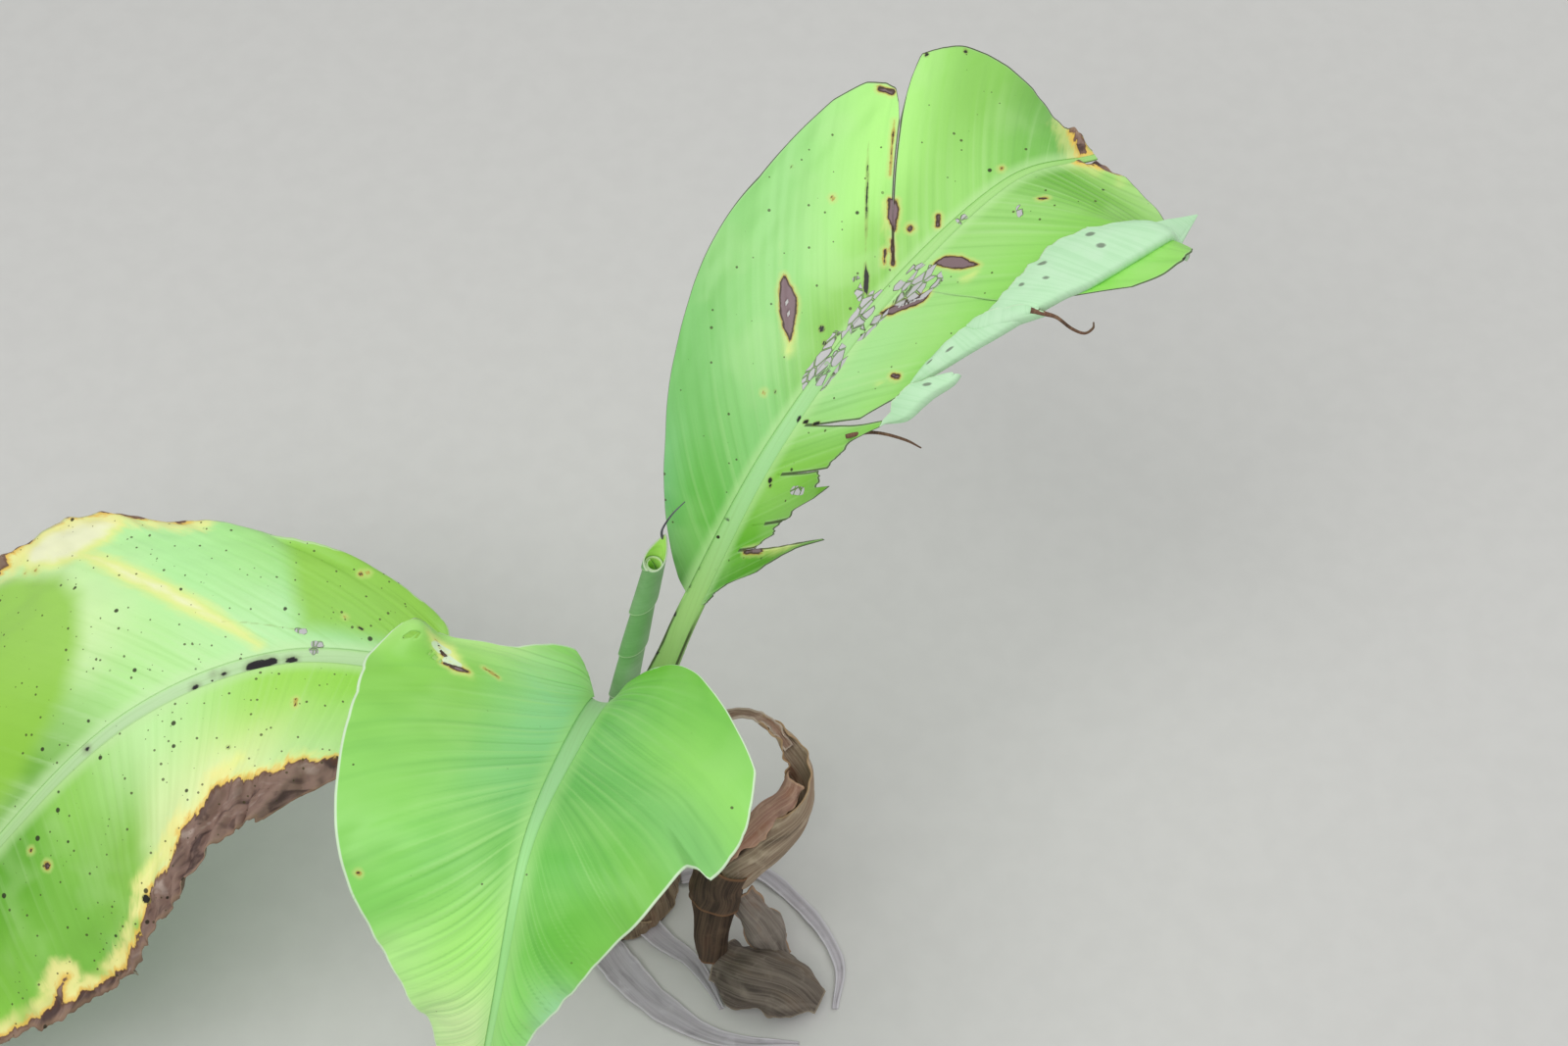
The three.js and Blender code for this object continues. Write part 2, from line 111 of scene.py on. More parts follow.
def ripple(places: Array, size: float, seed: int, octaves: int = 3) -> Array:
    """Smooth seeded unevenness, about -1 to 1, from waves that run in random directions.

    Args:
        places: points in millimetres, one per row.
        size: length of the widest waves in millimetres.
        seed: which of the patterns it is.
        octaves: how many times the waves are halved and added.

    Returns:
        One value per point.
    """
    source = np.random.default_rng(seed)
    total = np.zeros(len(places))
    for octave in range(octaves):
        for _ in range(5):
            way = unit(source.normal(size=places.shape[1]))
            length = size * 0.5**octave * source.uniform(0.75, 1.35)
            phase = source.uniform(0, 2 * np.pi)
            total += np.sin(2 * np.pi * (places @ way) / length + phase) * 0.55**octave
    return total / 3.2


def linear(hex_colour: str) -> tuple[float, float, float, float]:
    """Turns an sRGB hex colour into linear red, green, blue and alpha."""
    parts = [int(hex_colour[place : place + 2], 16) / 255 for place in (1, 3, 5)]
    made = [part / 12.92 if part <= 0.04045 else ((part + 0.055) / 1.055) ** 2.4 for part in parts]
    return (*made, 1.0)


@dataclass(frozen=True)
class Limb:
    """A line through space with a gutter's section round it: a leaf's sheath, stalk and rib."""

    path: tuple[tuple[float, float, float], ...]
    radius: tuple[float, ...]
    wrap: tuple[float, ...]
    heading: float
    twist: tuple[float, ...] = (0, 0)
    dish: tuple[float, ...] = (1, 1)
    wall: float = 2.4

    def middle(self, share: Array) -> Array:
        """Points of the line."""
        corners = np.asarray(self.path, float)
        first = 2 * corners[:1] - corners[1:2]
        last = 2 * corners[-1:] - corners[-2:-1]
        return spline(np.concatenate([first, corners, last]), share)

    def directions(self, share: Array) -> tuple[Array, Array, Array]:
        """Directions along the line, across it, and the way that its gutter opens."""
        small = 1e-4
        ahead = self.middle(np.minimum(share + small, 1))
        along = unit(ahead - self.middle(np.maximum(share - small, 0)))
        lean = np.radians(self.heading)
        level = along * [1, 1, 0] + HEADING_SHARE * np.array([np.cos(lean), np.sin(lean), 0])
        across = unit(np.cross(level, [0.0, 0.0, 1.0]))
        across = unit(across - along * np.sum(across * along, axis=-1, keepdims=True))
        return along, across, np.cross(across, along)

    def length(self, start: float = 0.0, end: float = 1.0) -> float:
        """Length of the line between two shares of it."""
        points = self.middle(np.linspace(start, end, 200))
        return float(np.linalg.norm(np.diff(points, axis=0), axis=1).sum())

    def around(self, share: Array, angle: Array, size: Array) -> Array:
        """Points round the line, at an angle from the side that is opposite its opening."""
        _, across, opening = self.directions(share)
        turned = angle + np.radians(station(self.twist, share))
        flat = across * (size * np.sin(turned))[:, None] - opening * (size * np.cos(turned))[:, None]
        return self.middle(share) + flat

    def outward(self, share: Array, angle: Array) -> Array:
        """Directions out of the line, at an angle round it."""
        return self.around(share, angle, np.ones(len(share))) - self.middle(share)

    def wall_point(self, share: Array, turn: Array) -> tuple[Array, Array]:
        """Points on the closed wall of the gutter.

        Args:
            share: places along the line.
            turn: places round the section, 0 to 1: the keel, a lip, the channel, a lip.

        Returns:
            The points, and how far each is on the channel's side, 0 to 1.
        """
        lip = 0.04
        face = 0.5 - lip
        half = np.where(turn < 0.5, turn, turn - 0.5)
        on_lip = np.clip((half - face) / lip, 0, 1) * np.pi
        sweep = np.clip(half / face, 0, 1) * 2 - 1
        sweep = np.where(turn < 0.5, sweep, -sweep)
        inward = np.where(turn < 0.5, (1 - np.cos(on_lip)) / 2, (1 + np.cos(on_lip)) / 2)
        radius = station(self.radius, share)
        wrap = np.radians(station(self.wrap, share))
        wall = np.minimum(self.wall, 0.75 * radius) * (1 - 0.5 * np.abs(sweep) ** 3)
        angle = sweep * (wrap + np.sin(on_lip) * wall / 2 / radius)
        size = radius - wall * inward
        flat = 1 - (1 - station(self.dish, share)) * inward
        depth = size * (np.cos(wrap) + (np.cos(angle) - np.cos(wrap)) * flat)
        _, across, opening = self.directions(share)
        point = self.middle(share) + across * (size * np.sin(angle))[:, None]
        return point - opening * depth[:, None], inward


class Mark(Enum):
    """What grows, dies or is painted shade at a place on a blade. Each is a field of its own in the mesh.
    """

    DECAY = "decay"
    LESION = "lesion"
    SCAR = "scar"
    PIT = "pit"
    GOLD = "gold"
    # Patches of painted shade: a darker green where the blade lies unlit and without sheen.
    DEEP = "deep"
    HOLE = "hole"


@dataclass(frozen=True)
class Spot:
    """A marked place: its corners in blade coordinates, and by how much it outgrows them."""

    mark: Mark
    outline: Pairs
    size: float = 0.0


@dataclass(frozen=True)
class Strip:
    """A part of half a blade between two tears, with a margin of its own.

    The tears run from the vein share that open_start or open_end gives to the margin, and
    stand open by the gape there. A strip whose side isn't torn has 1 there.
    """

    start: float
    end: float
    margin: Pairs = ((0, 1), (1, 1))
    open_start: float = 1.0
    open_end: float = 1.0
    gape_start: float = 0.0
    gape_end: float = 0.0
    lift_start: float = 0.0
    lift_end: float = 0.0
    ragged: float = 0.0
    ragged_size: float = 17.0


@dataclass(frozen=True)
class Relief:
    """How far a blade's surface leaves its smooth shape."""

    ridge_pitch: float = 5.0
    ridge: float = 0.3
    wave: float = 1.2
    flutter: float = 1.0
    seed: int = 1


@dataclass(frozen=True)
class Swelling:
    """A place where a blade curls up or down: in blade coordinates, with its size and height."""

    place: tuple[float, float]
    radius: float
    height: float


@dataclass(frozen=True)
class HalfBlade:
    """Half a blade: side veins that leave the rib and bend as they go, and its damage.

    The fine veins lean further towards the tip than the half's own lines by the slant, which
    fades with the share of the vein. The lobe is how far the base margin bulges to the stalk.
    """

    name: str
    side: int
    turn: float
    width: tuple[float, ...]
    sweep: tuple[float, ...]
    rise: tuple[float, ...]
    bend: tuple[float, ...]
    strips: tuple[Strip, ...]
    relief: Relief
    finish: "LivingBlade"
    spots: tuple[Spot, ...] = ()
    swellings: tuple[Swelling, ...] = ()
    slant: tuple[float, ...] = (0, 0)
    slant_fade: float = 0.3
    lobe: float = 0.0
    fold_line: Pairs = ()
    fold_drop: float = 0.0
    fold_width: float = 0.45


def blade_share(at: Array) -> Array:
    """Share of the blade's length at a place on it. Places lie close at both ends."""
    return (1 - np.cos(np.pi * at)) / 2


@dataclass(frozen=True)
class BladeSurface:
    """The smooth surface of half a blade, on its limb."""

    limb: Limb
    blade_index: int
    half: HalfBlade

    def on_path(self, at: Array) -> Array:
        """Share of the whole limb at a place on the blade."""
        last = len(self.limb.path) - 1
        return (self.blade_index + blade_share(at) * (last - self.blade_index)) / last

    def rib_length(self) -> float:
        """Length of the rib that carries the blade."""
        return self.limb.length(self.blade_index / (len(self.limb.path) - 1), 1.0)

    def point(self, at: Array, reach: Array) -> Array:
        """Points at places along the rib and shares of the side vein there."""
        half = self.half
        where = self.on_path(at)
        along, across, opening = self.limb.directions(where)
        out = half.side * station(self.limb.radius, where) * 0.87
        point = self.limb.middle(where) + across * out[:, None]
        stride = np.maximum(station(half.width, at), 0) * reach / VEIN_STEPS
        for step in range(VEIN_STEPS):
            share = reach * (step + 0.5) / VEIN_STEPS
            sweep = np.radians(station(half.sweep, at) + half.turn * share)
            tilt = np.radians(station(half.rise, at) + station(half.bend, at) * share)
            point = point + along * (stride * np.cos(sweep))[:, None]
            point = point + across * (stride * np.sin(sweep) * np.cos(tilt) * half.side)[:, None]
            point = point + opening * (stride * np.sin(sweep) * np.sin(tilt))[:, None]
        return point

    def normal(self, at: Array, reach: Array) -> Array:
        """Directions out of the upper side."""
        small = 0.004
        low = np.maximum(reach - small, small)
        outward = self.point(at, low + 2 * small) - self.point(at, low)
        onward = self.point(at + small, low) - self.point(at - small, low)
        return -unit(np.cross(onward, outward)) * self.half.side


def share_on(places: Array, start: Array, way: Array) -> Array:
    """How far along a straight piece the point nearest to each place lies, 0 to 1."""
    return np.clip((places - start) @ way / max(way @ way, 1e-12), 0, 1)


def distance_to_line(places: Array, line: Array) -> Array:
    """Distances from points to a chain of straight pieces, in the points' own unit."""
    nearest = np.full(len(places), np.inf)
    for start, end in zip(line[:-1], line[1:]):
        way = end - start
        share = share_on(places, start, way)
        nearest = np.minimum(nearest, np.linalg.norm(places - start - share[:, None] * way, axis=1))
    return nearest


def inside_of(places: Array, outline: Array) -> Array:
    """Which of the flat places lie inside a closed outline."""
    inside = np.zeros(len(places), bool)
    for start, end in zip(outline, np.roll(outline, -1, axis=0)):
        crosses = (start[1] > places[:, 1]) != (end[1] > places[:, 1])
        rise = end[1] - start[1] if end[1] != start[1] else 1e-12
        cut = start[0] + (places[:, 1] - start[1]) * (end[0] - start[0]) / rise
        inside ^= crosses & (places[:, 0] < cut)
    return inside


@dataclass
class Laid:
    """Where a skin's corners lie, with what its material reads there."""

    points: Array
    surface: Array
    fields: dict[str, Array] = field(default_factory=dict)


def linked(name: str, data: bpy.types.ID) -> bpy.types.Object:
    """Puts a mesh, light or camera into the scene as an object."""
    made = bpy.data.objects.new(name, data)
    bpy.context.scene.collection.objects.link(made)
    return made


def aimed(name: str, data: bpy.types.ID, place: tuple, look: Vector) -> bpy.types.Object:
    """Puts a light or camera into the scene at a place, looking along a direction."""
    made = linked(name, data)
    made.location = place
    made.rotation_euler = look.to_track_quat("-Z", "Y").to_euler()
    return made


def skyward(flat: Array) -> Array:
    """Directions away from the ground, one for each place."""
    return np.tile([0.0, 0, 1], (len(flat), 1))


class Skin:
    """A surface under construction: flat grids in two coordinates of its own, then laid out."""

    def __init__(self) -> None:
        """Starts with nothing."""
        self.flat = bmesh.new()

    @classmethod
    def of(cls, along: Array, over: Array) -> "Skin":
        """A skin of one grid, with the coordinates of its columns and of its rows."""
        skin = cls()
        skin.grid(along, over)
        return skin

    def grid(self, along: Array, over: Array, layer: int = 0) -> None:
        """Adds a flat grid.

        Args:
            along: coordinates of its columns.
            over: coordinates of its rows.
            layer: number that tells this grid from the others.
        """
        columns = len(along) - 1
        rows = len(over) - 1
        made = bmesh.ops.create_grid(self.flat, x_segments=columns, y_segments=rows, size=1.0)
        for corner in made["verts"]:
            column = round((corner.co.x + 1) / 2 * columns)
            row = round((corner.co.y + 1) / 2 * rows)
            corner.co = (along[column], over[row], layer)

    def coordinates(self) -> Array:
        """The corners' flat coordinates and layers, one row for each."""
        return np.array([corner.co[:] for corner in self.flat.verts])

    def punch(self, inside: Array, moved: Array) -> None:
        """Cuts holes: drops the faces that lie inside and draws their border to the rim.

        Args:
            inside: which corners lie in a hole.
            moved: the flat coordinates with those corners moved to the hole's rim.
        """
        self.flat.verts.ensure_lookup_table()
        faces = self.flat.faces
        gone = [face for face in faces if all(inside[corner.index] for corner in face.verts)]
        for corner, place in zip(self.flat.verts, moved):
            corner.co = place
        bmesh.ops.delete(self.flat, geom=gone, context="FACES")
        self.flat.verts.index_update()

    def laid_out(
        self,
        name: str,
        layout: Callable[[Array], Laid],
        up: Callable[[Array], Array] | None,
    ) -> bpy.types.Object:
        """Lays the skin out in space as a finished object.

        Args:
            name: the piece's name.
            layout: gives the places and fields for the flat coordinates.
            up: gives the directions that an open skin's faces look in. With none, the skin is
                one that closes, and its open ends get a face.

        Returns:
            The object, at the origin, with its place in its mesh.
        """
        mesh = bpy.data.meshes.new(name)
        self.flat.to_mesh(mesh)
        self.flat.free()
        flat = np.empty(len(mesh.vertices) * 3)
        mesh.vertices.foreach_get("co", flat)
        flat = flat.reshape(-1, 3)
        laid = layout(flat)
        mesh.vertices.foreach_set("co", (laid.points * MM).ravel())
        corners = np.empty(len(mesh.loops), int)
        mesh.loops.foreach_get("vertex_index", corners)
        layer = mesh.uv_layers.new(name=UV_NAME)
        layer.uv.foreach_set("vector", (laid.surface / UV_UNIT)[corners].ravel())
        for title, values in laid.fields.items():
            mesh.attributes.new(title, "FLOAT", "POINT").data.foreach_set("value", values)
        mesh.update()
        shape = bmesh.new()
        shape.from_mesh(mesh)
        if up is not None:
            wanted = up(flat)
            ways = sum(face.normal.dot(Vector(wanted[face.verts[0].index])) for face in shape.faces)
            if ways < 0:
                bmesh.ops.reverse_faces(shape, faces=shape.faces)
        bmesh.ops.remove_doubles(shape, verts=shape.verts, dist=WELD)
        if up is None:
            rims = [edge for edge in shape.edges if edge.is_boundary]
            bmesh.ops.holes_fill(shape, edges=rims, sides=0)
            for edge in rims:
                edge.smooth = False
            bmesh.ops.recalc_face_normals(shape, faces=shape.faces)
        for face in shape.faces:
            face.smooth = True
        shape.to_mesh(mesh)
        shape.free()
        return linked(name, mesh)


class Graph:
    """The nodes of one material. Its values have names, and a later value may take over a name."""

    def __init__(self, name: str) -> None:
        """Starts a material with its shader and output."""
        self.material = bpy.data.materials.new(name)
        self.material.use_nodes = True
        self.tree = self.material.node_tree
        self.tree.nodes.clear()
        self.shader = self.add("ShaderNodeBsdfPrincipled")
        self.add("ShaderNodeOutputMaterial", feeds={"Surface": self.shader.outputs[0]})
        self.found: dict[str, Socket] = {}

    def add(
        self, kind: str, settings: dict | None = None, feeds: dict | None = None
    ) -> bpy.types.Node:
        """Adds a node.

        Args:
            kind: the node's type.
            settings: its own properties.
            feeds: for its inputs, by name or number, a value or the output that feeds them.

        Returns:
            The node.
        """
        node = self.tree.nodes.new(kind)
        for title, value in (settings or {}).items():
            setattr(node, title, value)
        for title, value in (feeds or {}).items():
            self.feed(node, title, value)
        return node

    def feed(self, node: bpy.types.Node, title: str | int, value: object) -> None:
        """Sets an input to a value, or links it to an output."""
        if isinstance(value, Socket):
            self.tree.links.new(value, node.inputs[title])
        elif isinstance(value, str):
            node.inputs[title].default_value = linear(value)
        else:
            node.inputs[title].default_value = value

    def coordinates(self) -> tuple[Socket, Socket]:
        """The piece's own flat coordinates, 100 mm to 1, and its place in metres."""
        place = self.add("ShaderNodeUVMap", {"uv_map": UV_NAME}).outputs[0]
        return place, self.add("ShaderNodeTexCoord").outputs["Object"]

    def fields(self, *names: str) -> None:
        """Names the mesh's own fields."""
        for name in names:
            self.found[name] = self.add("ShaderNodeAttribute", {"attribute_name": name}).outputs["Fac"]

    def grains(self, source: Socket, unit_size: float, **table: tuple[tuple, float, float]) -> None:
        """Names seeded unevenness from 0 to 1, at several sizes.

        Args:
            source: the coordinates.
            unit_size: how many millimetres a step of 1 in them is.
            table: for each name, the size in millimetres or its parts, the detail, the distortion.
        """
        for name, (size, detail, distortion) in table.items():
            parts = size if isinstance(size, tuple) else (size,) * 3
            scale = tuple(unit_size / part for part in parts)
            stretched = self.add("ShaderNodeMapping", feeds={"Vector": source, "Scale": scale})
            self.found[name] = self.add("ShaderNodeTexNoise", feeds={
                "Vector": stretched.outputs[0], "Scale": 1.0, "Detail": detail,
                "Distortion": distortion}).outputs[0]

    def shifted(self, **table: tuple[str, str, float]) -> None:
        """Names values moved by an unevenness: for each the value, the unevenness, how far."""
        made = {}
        for name, (value, grain, far) in table.items():
            feeds = {0: self.found[grain], 1: far, 2: -far / 2}
            swing = self.add("ShaderNodeMath", {"operation": "MULTIPLY_ADD"}, feeds)
            feeds = {0: self.found[value], 1: swing.outputs[0]}
            made[name] = self.add("ShaderNodeMath", feeds=feeds).outputs[0]
        self.found |= made

    def mask(self, value: Socket, bare: float, full: float) -> Socket:
        """Turns a value into a mask, by where it is bare and where it is full."""
        feeds = {"Value": value, "From Min": bare, "From Max": full}
        return self.add("ShaderNodeMapRange", {"interpolation_type": "SMOOTHSTEP"}, feeds).outputs[0]

    def masks(self, **table: tuple[str, float, float]) -> None:
        """Names masks: for each the value, where it is bare, where it is full."""
        self.found |= {
            name: self.mask(self.found[value], bare, full)
            for name, (value, bare, full) in table.items()
        }

    def both(self, *values: str | float | Socket) -> Socket:
        """Where all the masks are: their product."""
        parts = [self.found[value] if isinstance(value, str) else value for value in values]
        made = parts[0]
        for part in parts[1:]:
            feeds = {0: made, 1: part}
            made = self.add("ShaderNodeMath", {"operation": "MULTIPLY"}, feeds).outputs[0]
        return made

    def coats(self, base: Socket | str, *table: tuple) -> Socket:
        """Lays colours over a base: for each the masks that bound it, then the colour."""
        made = base
        for *masks, colour in table:
            feeds = {0: self.both(*masks), 6: made, 7: colour}
            made = self.add("ShaderNodeMix", {"data_type": "RGBA"}, feeds).outputs[2]
        return made

    def toned(self, tones: Tones) -> Socket | str:
        """Colours that follow one another along the leaf, each full at its own place."""
        made = tones[0][1]
        for (bare, _), (full, colour) in zip(tones[:-1], tones[1:]):
            made = self.coats(made, (self.mask(self.found["place"], bare, full), colour))
        return made

    def flakes(self, zone: str, share: float) -> None:
        """Cracks a zone's surface into long flakes that lie along the back leaf's rib.

        They are named flaked with their dark outlines and flake without.

        Args:
            zone: where they may be.
            share: how many of the cells are flakes.
        """
        # A flake is about 8 mm long and 3 mm wide, and the rib runs at 43 degrees.
        body = self.add("ShaderNodeTexCoord").outputs["Object"]
        turned = self.add("ShaderNodeMapping", {"vector_type": "TEXTURE"}, {
            "Vector": body, "Rotation": (0, -0.55, 0.75), "Scale": (0.0085, 0.0034, 0.0034)})
        feeds = {"Vector": turned.outputs[0], "Scale": 1.0}
        cells = self.add("ShaderNodeTexVoronoi", feeds=feeds)
        edges = self.add("ShaderNodeTexVoronoi", {"feature": "DISTANCE_TO_EDGE"}, feeds).outputs[0]
        chance = self.add("ShaderNodeSeparateColor", feeds={0: cells.outputs["Color"]}).outputs[0]
        chosen = self.mask(chance, share + 0.01, share)
        self.found["flaked"] = self.both(zone, chosen, self.mask(edges, 0.0, 0.03))
        self.found["flake"] = self.both("flaked", self.mask(edges, 0.05, 0.11))

    def specks(self, place: Socket, spacing: float, radius: float, share: float) -> Socket:
        """Scatters round specks.

        Args:
            place: the coordinates, in metres.
            spacing: millimetres from one place for a speck to the next.
            radius: a speck's largest radius in millimetres.
            share: how many of the places have one.

        Returns:
            The specks' mask.
        """
        cells = self.add("ShaderNodeTexVoronoi", feeds={"Vector": place, "Scale": 1000 / spacing})
        chance = self.add("ShaderNodeSeparateColor", feeds={0: cells.outputs["Color"]}).outputs
        size = self.both(chance[1], radius / spacing)
        inside = self.add("ShaderNodeMath", {"operation": "SUBTRACT"}, {
            0: size, 1: cells.outputs["Distance"]}).outputs[0]
        return self.both(self.mask(inside, -0.02, 0.03), self.mask(chance[0], share + 0.01, share))

    def finished(
        self, colour: Socket, roughness: Socket | float, ior: float, *relief: tuple
    ) -> bpy.types.Material:
        """Gives the shader its colour, gloss and bumps.

        Args:
            colour: the base colour.
            roughness: how dull it is.
            ior: how much its skin bends light.
            relief: for each bump what makes its height, then its depth in millimetres.

        Returns:
            The material.
        """
        for title, value in (("Base Color", colour), ("Roughness", roughness), ("IOR", ior)):
            self.feed(self.shader, title, value)
        bump = {}
        for *height, depth in relief:
            feeds = {"Height": self.both(*height), "Distance": depth * MM, "Strength": 1.0, **bump}
            bump = {"Normal": self.add("ShaderNodeBump", feeds=feeds).outputs[0]}
        for title, value in bump.items():
            self.feed(self.shader, title, value)
        return self.material


@dataclass(frozen=True)
class LivingBlade:
    """Living leaf blade, grown flat between parallel side veins under a thin wax.

    The eye gets a green that changes along the leaf and towards its margin, which also carries
    painted light, shade and sheen; crests painted paler and troughs painted darker as light and
    shade of the vein ridges; a soft broad gloss, a whitish dry rim, patches of painted shade, and
    the dead, yellowed and scarred places that the fields mark.
    """

    name: str
    # The inner and outer tones are partly the leaf's own green and partly painted light, shade and sheen
    # along the blade.
    inner: Tones
    outer: Tones
    # crest is painted light on the vein ridges' crests, and also tints paler patches and the band by the
    # rib; trough is painted shade in their troughs; vein sets how strong that painted light and shade is.
    crest: str = "#c6f0a4"
    trough: str = "#69aa48"
    vein: float = 0.22
    rim: str = "#dcefc8"
    rim_share: float = 0.9
    dark_rim: float = 0.0
    # deep is the colour of the patches of painted shade.
    deep: str = "#97d057"
    halo: float = 0.85
    specks: float = 0.05

    def material(self) -> bpy.types.Material:
        """Builds the material."""
        graph = Graph(self.name)
        place, body = graph.coordinates()
        graph.fields("place", "out", "ridge", "rim", *[mark.value for mark in Mark][:-1])
        # Fine veins stand 1.3 mm apart and run the width of the blade. Patches are 40 mm wide.
        graph.grains(
            place, UV_UNIT, vein=((1.3, 90, 100), 2.0, 0.0), bundle=((9, 110, 100), 2.0, 0.0),
            edge=((6, 9, 100), 4.0, 0.5), crust=((30, 14, 100), 3.0, 1.0),
        )
        graph.grains(body, METRE, broad=(36, 2.0, 0.3), mottle=(4, 4.0, 0.3), pore=(0.9, 2.0, 0.0))
        graph.shifted(
            ridge=("ridge", "vein", 1.2), decay=("decay", "edge", 10.0), gold=("gold", "edge", 0.5),
            lesion=("lesion", "mottle", 2.2), scar=("scar", "mottle", 2.0),
            pit=("pit", "mottle", 1.2), deep=("deep", "broad", 6.0), far_out=("out", "broad", 25.0),
        )
        graph.masks(
            crest=("ridge", 0.1, 1.3), trough=("ridge", -0.1, -1.3), outer=("far_out", 8, 62),
            patch=("broad", 0.46, 0.68), bundle=("bundle", 0.5, 0.7), by_rib=("out", 8, 0),
            fade=("out", 90, 8), deep=("deep", -8.0, 8.0), gold=("gold", 0.1, 0.8),
            cream=("gold", 0.6, 1.2), halo=("decay", -12.0, -4.0), blotched=("broad", 0.36, 0.54),
            amber=("decay", -3.4, -0.2), dead=("decay", -0.3, 0.5), dead_edge=("decay", 2.0, 0.3),
            dead_rim=("rim", 4.0, 0.8), lesion_halo=("lesion", -3.2, -0.9),
            lesion_amber=("lesion", -1.0, -0.3), lesion=("lesion", -0.25, 0.1),
            lesion_core=("lesion", 0.4, 1.1), zone=("scar", -0.2, 0.2), pit=("pit", -0.2, 0.2),
            pit_ring=("pit", -1.0, -0.2), rim=("rim", 1.6, 0.8), rim_line=("rim", 1.0, 0.4),
            worn=("edge", 0.22, 0.38), streak=("crust", 0.5, 0.34), blot=("crust", 0.56, 0.7),
            grey=("mottle", 0.45, 0.75),
        )
        graph.flakes("zone", 0.78)
        crust = graph.coats(
            "#92776a", ("streak", 0.9, "#493734"), ("blot", 0.8, "#bca79b"),
            ("grey", 0.25, "#6b5654"), ("dead_rim", 0.45, "#a98a6c"), ("dead_edge", 0.6, "#6a4227"),
        )
        colour = graph.coats(
            # Tones along the leaf: its own green with painted light, shade and sheen.
            graph.toned(self.inner),
            ("outer", graph.toned(self.outer)),
            ("patch", 0.2, self.crest),
            # Painted light on the ridge crests, painted shade in the troughs and in broad darker streaks
            # along the veins.
            ("crest", "fade", self.vein * 1.3, self.crest),
            ("trough", "fade", self.vein, self.trough),
            ("bundle", self.vein * 0.5, self.trough),
            ("by_rib", 0.6, self.crest),
            # Patches of painted shade, where the blade lies unlit and without sheen.
            ("deep", 0.85, self.deep),
            ("gold", 0.88, "#f5fa96"),
            ("cream", 0.85, "#ffffda"),
            ("halo", "blotched", self.halo, "#fcf79e"),
            ("amber", 0.8, "#f6c250"),
            ("lesion_halo", 0.45, "#dbe486"),
            ("lesion_amber", 0.7, "#c2953f"),
            ("rim", "worn", self.rim_share, self.rim),
            ("rim_line", self.dark_rim, "#3c3a2c"),
            ("dead", crust),
            ("lesion", "#4c3a2c"),
            ("lesion_core", "#8a7276"),
            ("flaked", 0.85, "#4b463a"),
            ("flake", "#c9c6c6"),
            ("pit_ring", 0.4, "#8f9040"),
            ("pit", "#24211c"),
            (graph.specks(body, 11.0, 1.5, self.specks), 0.92, "#2c2818"),
            (graph.specks(body, 4.0, 0.85, self.specks), 0.8, "#46401f"),
        )
        rough = graph.add("ShaderNodeMapRange", feeds={
            "Value": graph.found["dead"], "To Min": 0.4, "To Max": 0.75})
        return graph.finished(
            colour, rough.outputs[0], LEAF_IOR,
            ("vein", "fade", 0.08), ("pore", 0.02), ("crust", "dead", 0.5), ("flake", 0.15),
        )


@dataclass(frozen=True)
class BladeUnderside:
    """Underside of a living blade, dusted with wax: paler, bluer and dull."""

    name: str = "waxy leaf underside"
    body: str = "#b7dfb4"
    vein: str = "#8fc48a"
    wax: float = 0.3

    def material(self) -> bpy.types.Material:
        """Builds the material."""
        graph = Graph(self.name)
        place, body = graph.coordinates()
        graph.fields("decay", "lesion", "pit", "rim")
        # The veins show 1.6 mm apart, and the wax is rubbed off in patches of 18 mm.
        graph.grains(
            place, UV_UNIT, vein=((1.6, 80, 100), 2.0, 0.0), edge=((6, 6, 100), 4.0, 0.3)
        )
        graph.grains(body, METRE, wax=(18, 4.0, 0.3))
        graph.shifted(
            decay=("decay", "edge", 11.0), lesion=("lesion", "edge", 2.2), pit=("pit", "edge", 1.0)
        )
        graph.masks(
            veins=("vein", 0.46, 0.6), waxed=("wax", 0.4, 0.7), halo=("decay", -12.0, 0.0),
            dead=("decay", -0.5, 0.8), lesion=("lesion", -0.6, 0.4), ring=("pit", -1.2, -0.2),
            pit=("pit", 0.5, 1.2), rim=("rim", 1.2, 0.3),
        )
        colour = graph.coats(
            self.body, ("veins", 0.25, self.vein), ("waxed", self.wax, "#daf4d6"),
            ("halo", 0.6, "#d5d27a"), ("dead", "#77624f"), ("lesion", "#5b4634"),
            ("ring", 0.8, "#6d7265"), ("pit", "#a3ab9c"), ("rim", 0.6, "#e4efd0"),
        )
        return graph.finished(colour, 0.62, 1.4, ("vein", 0.08), ("wax", 0.08))


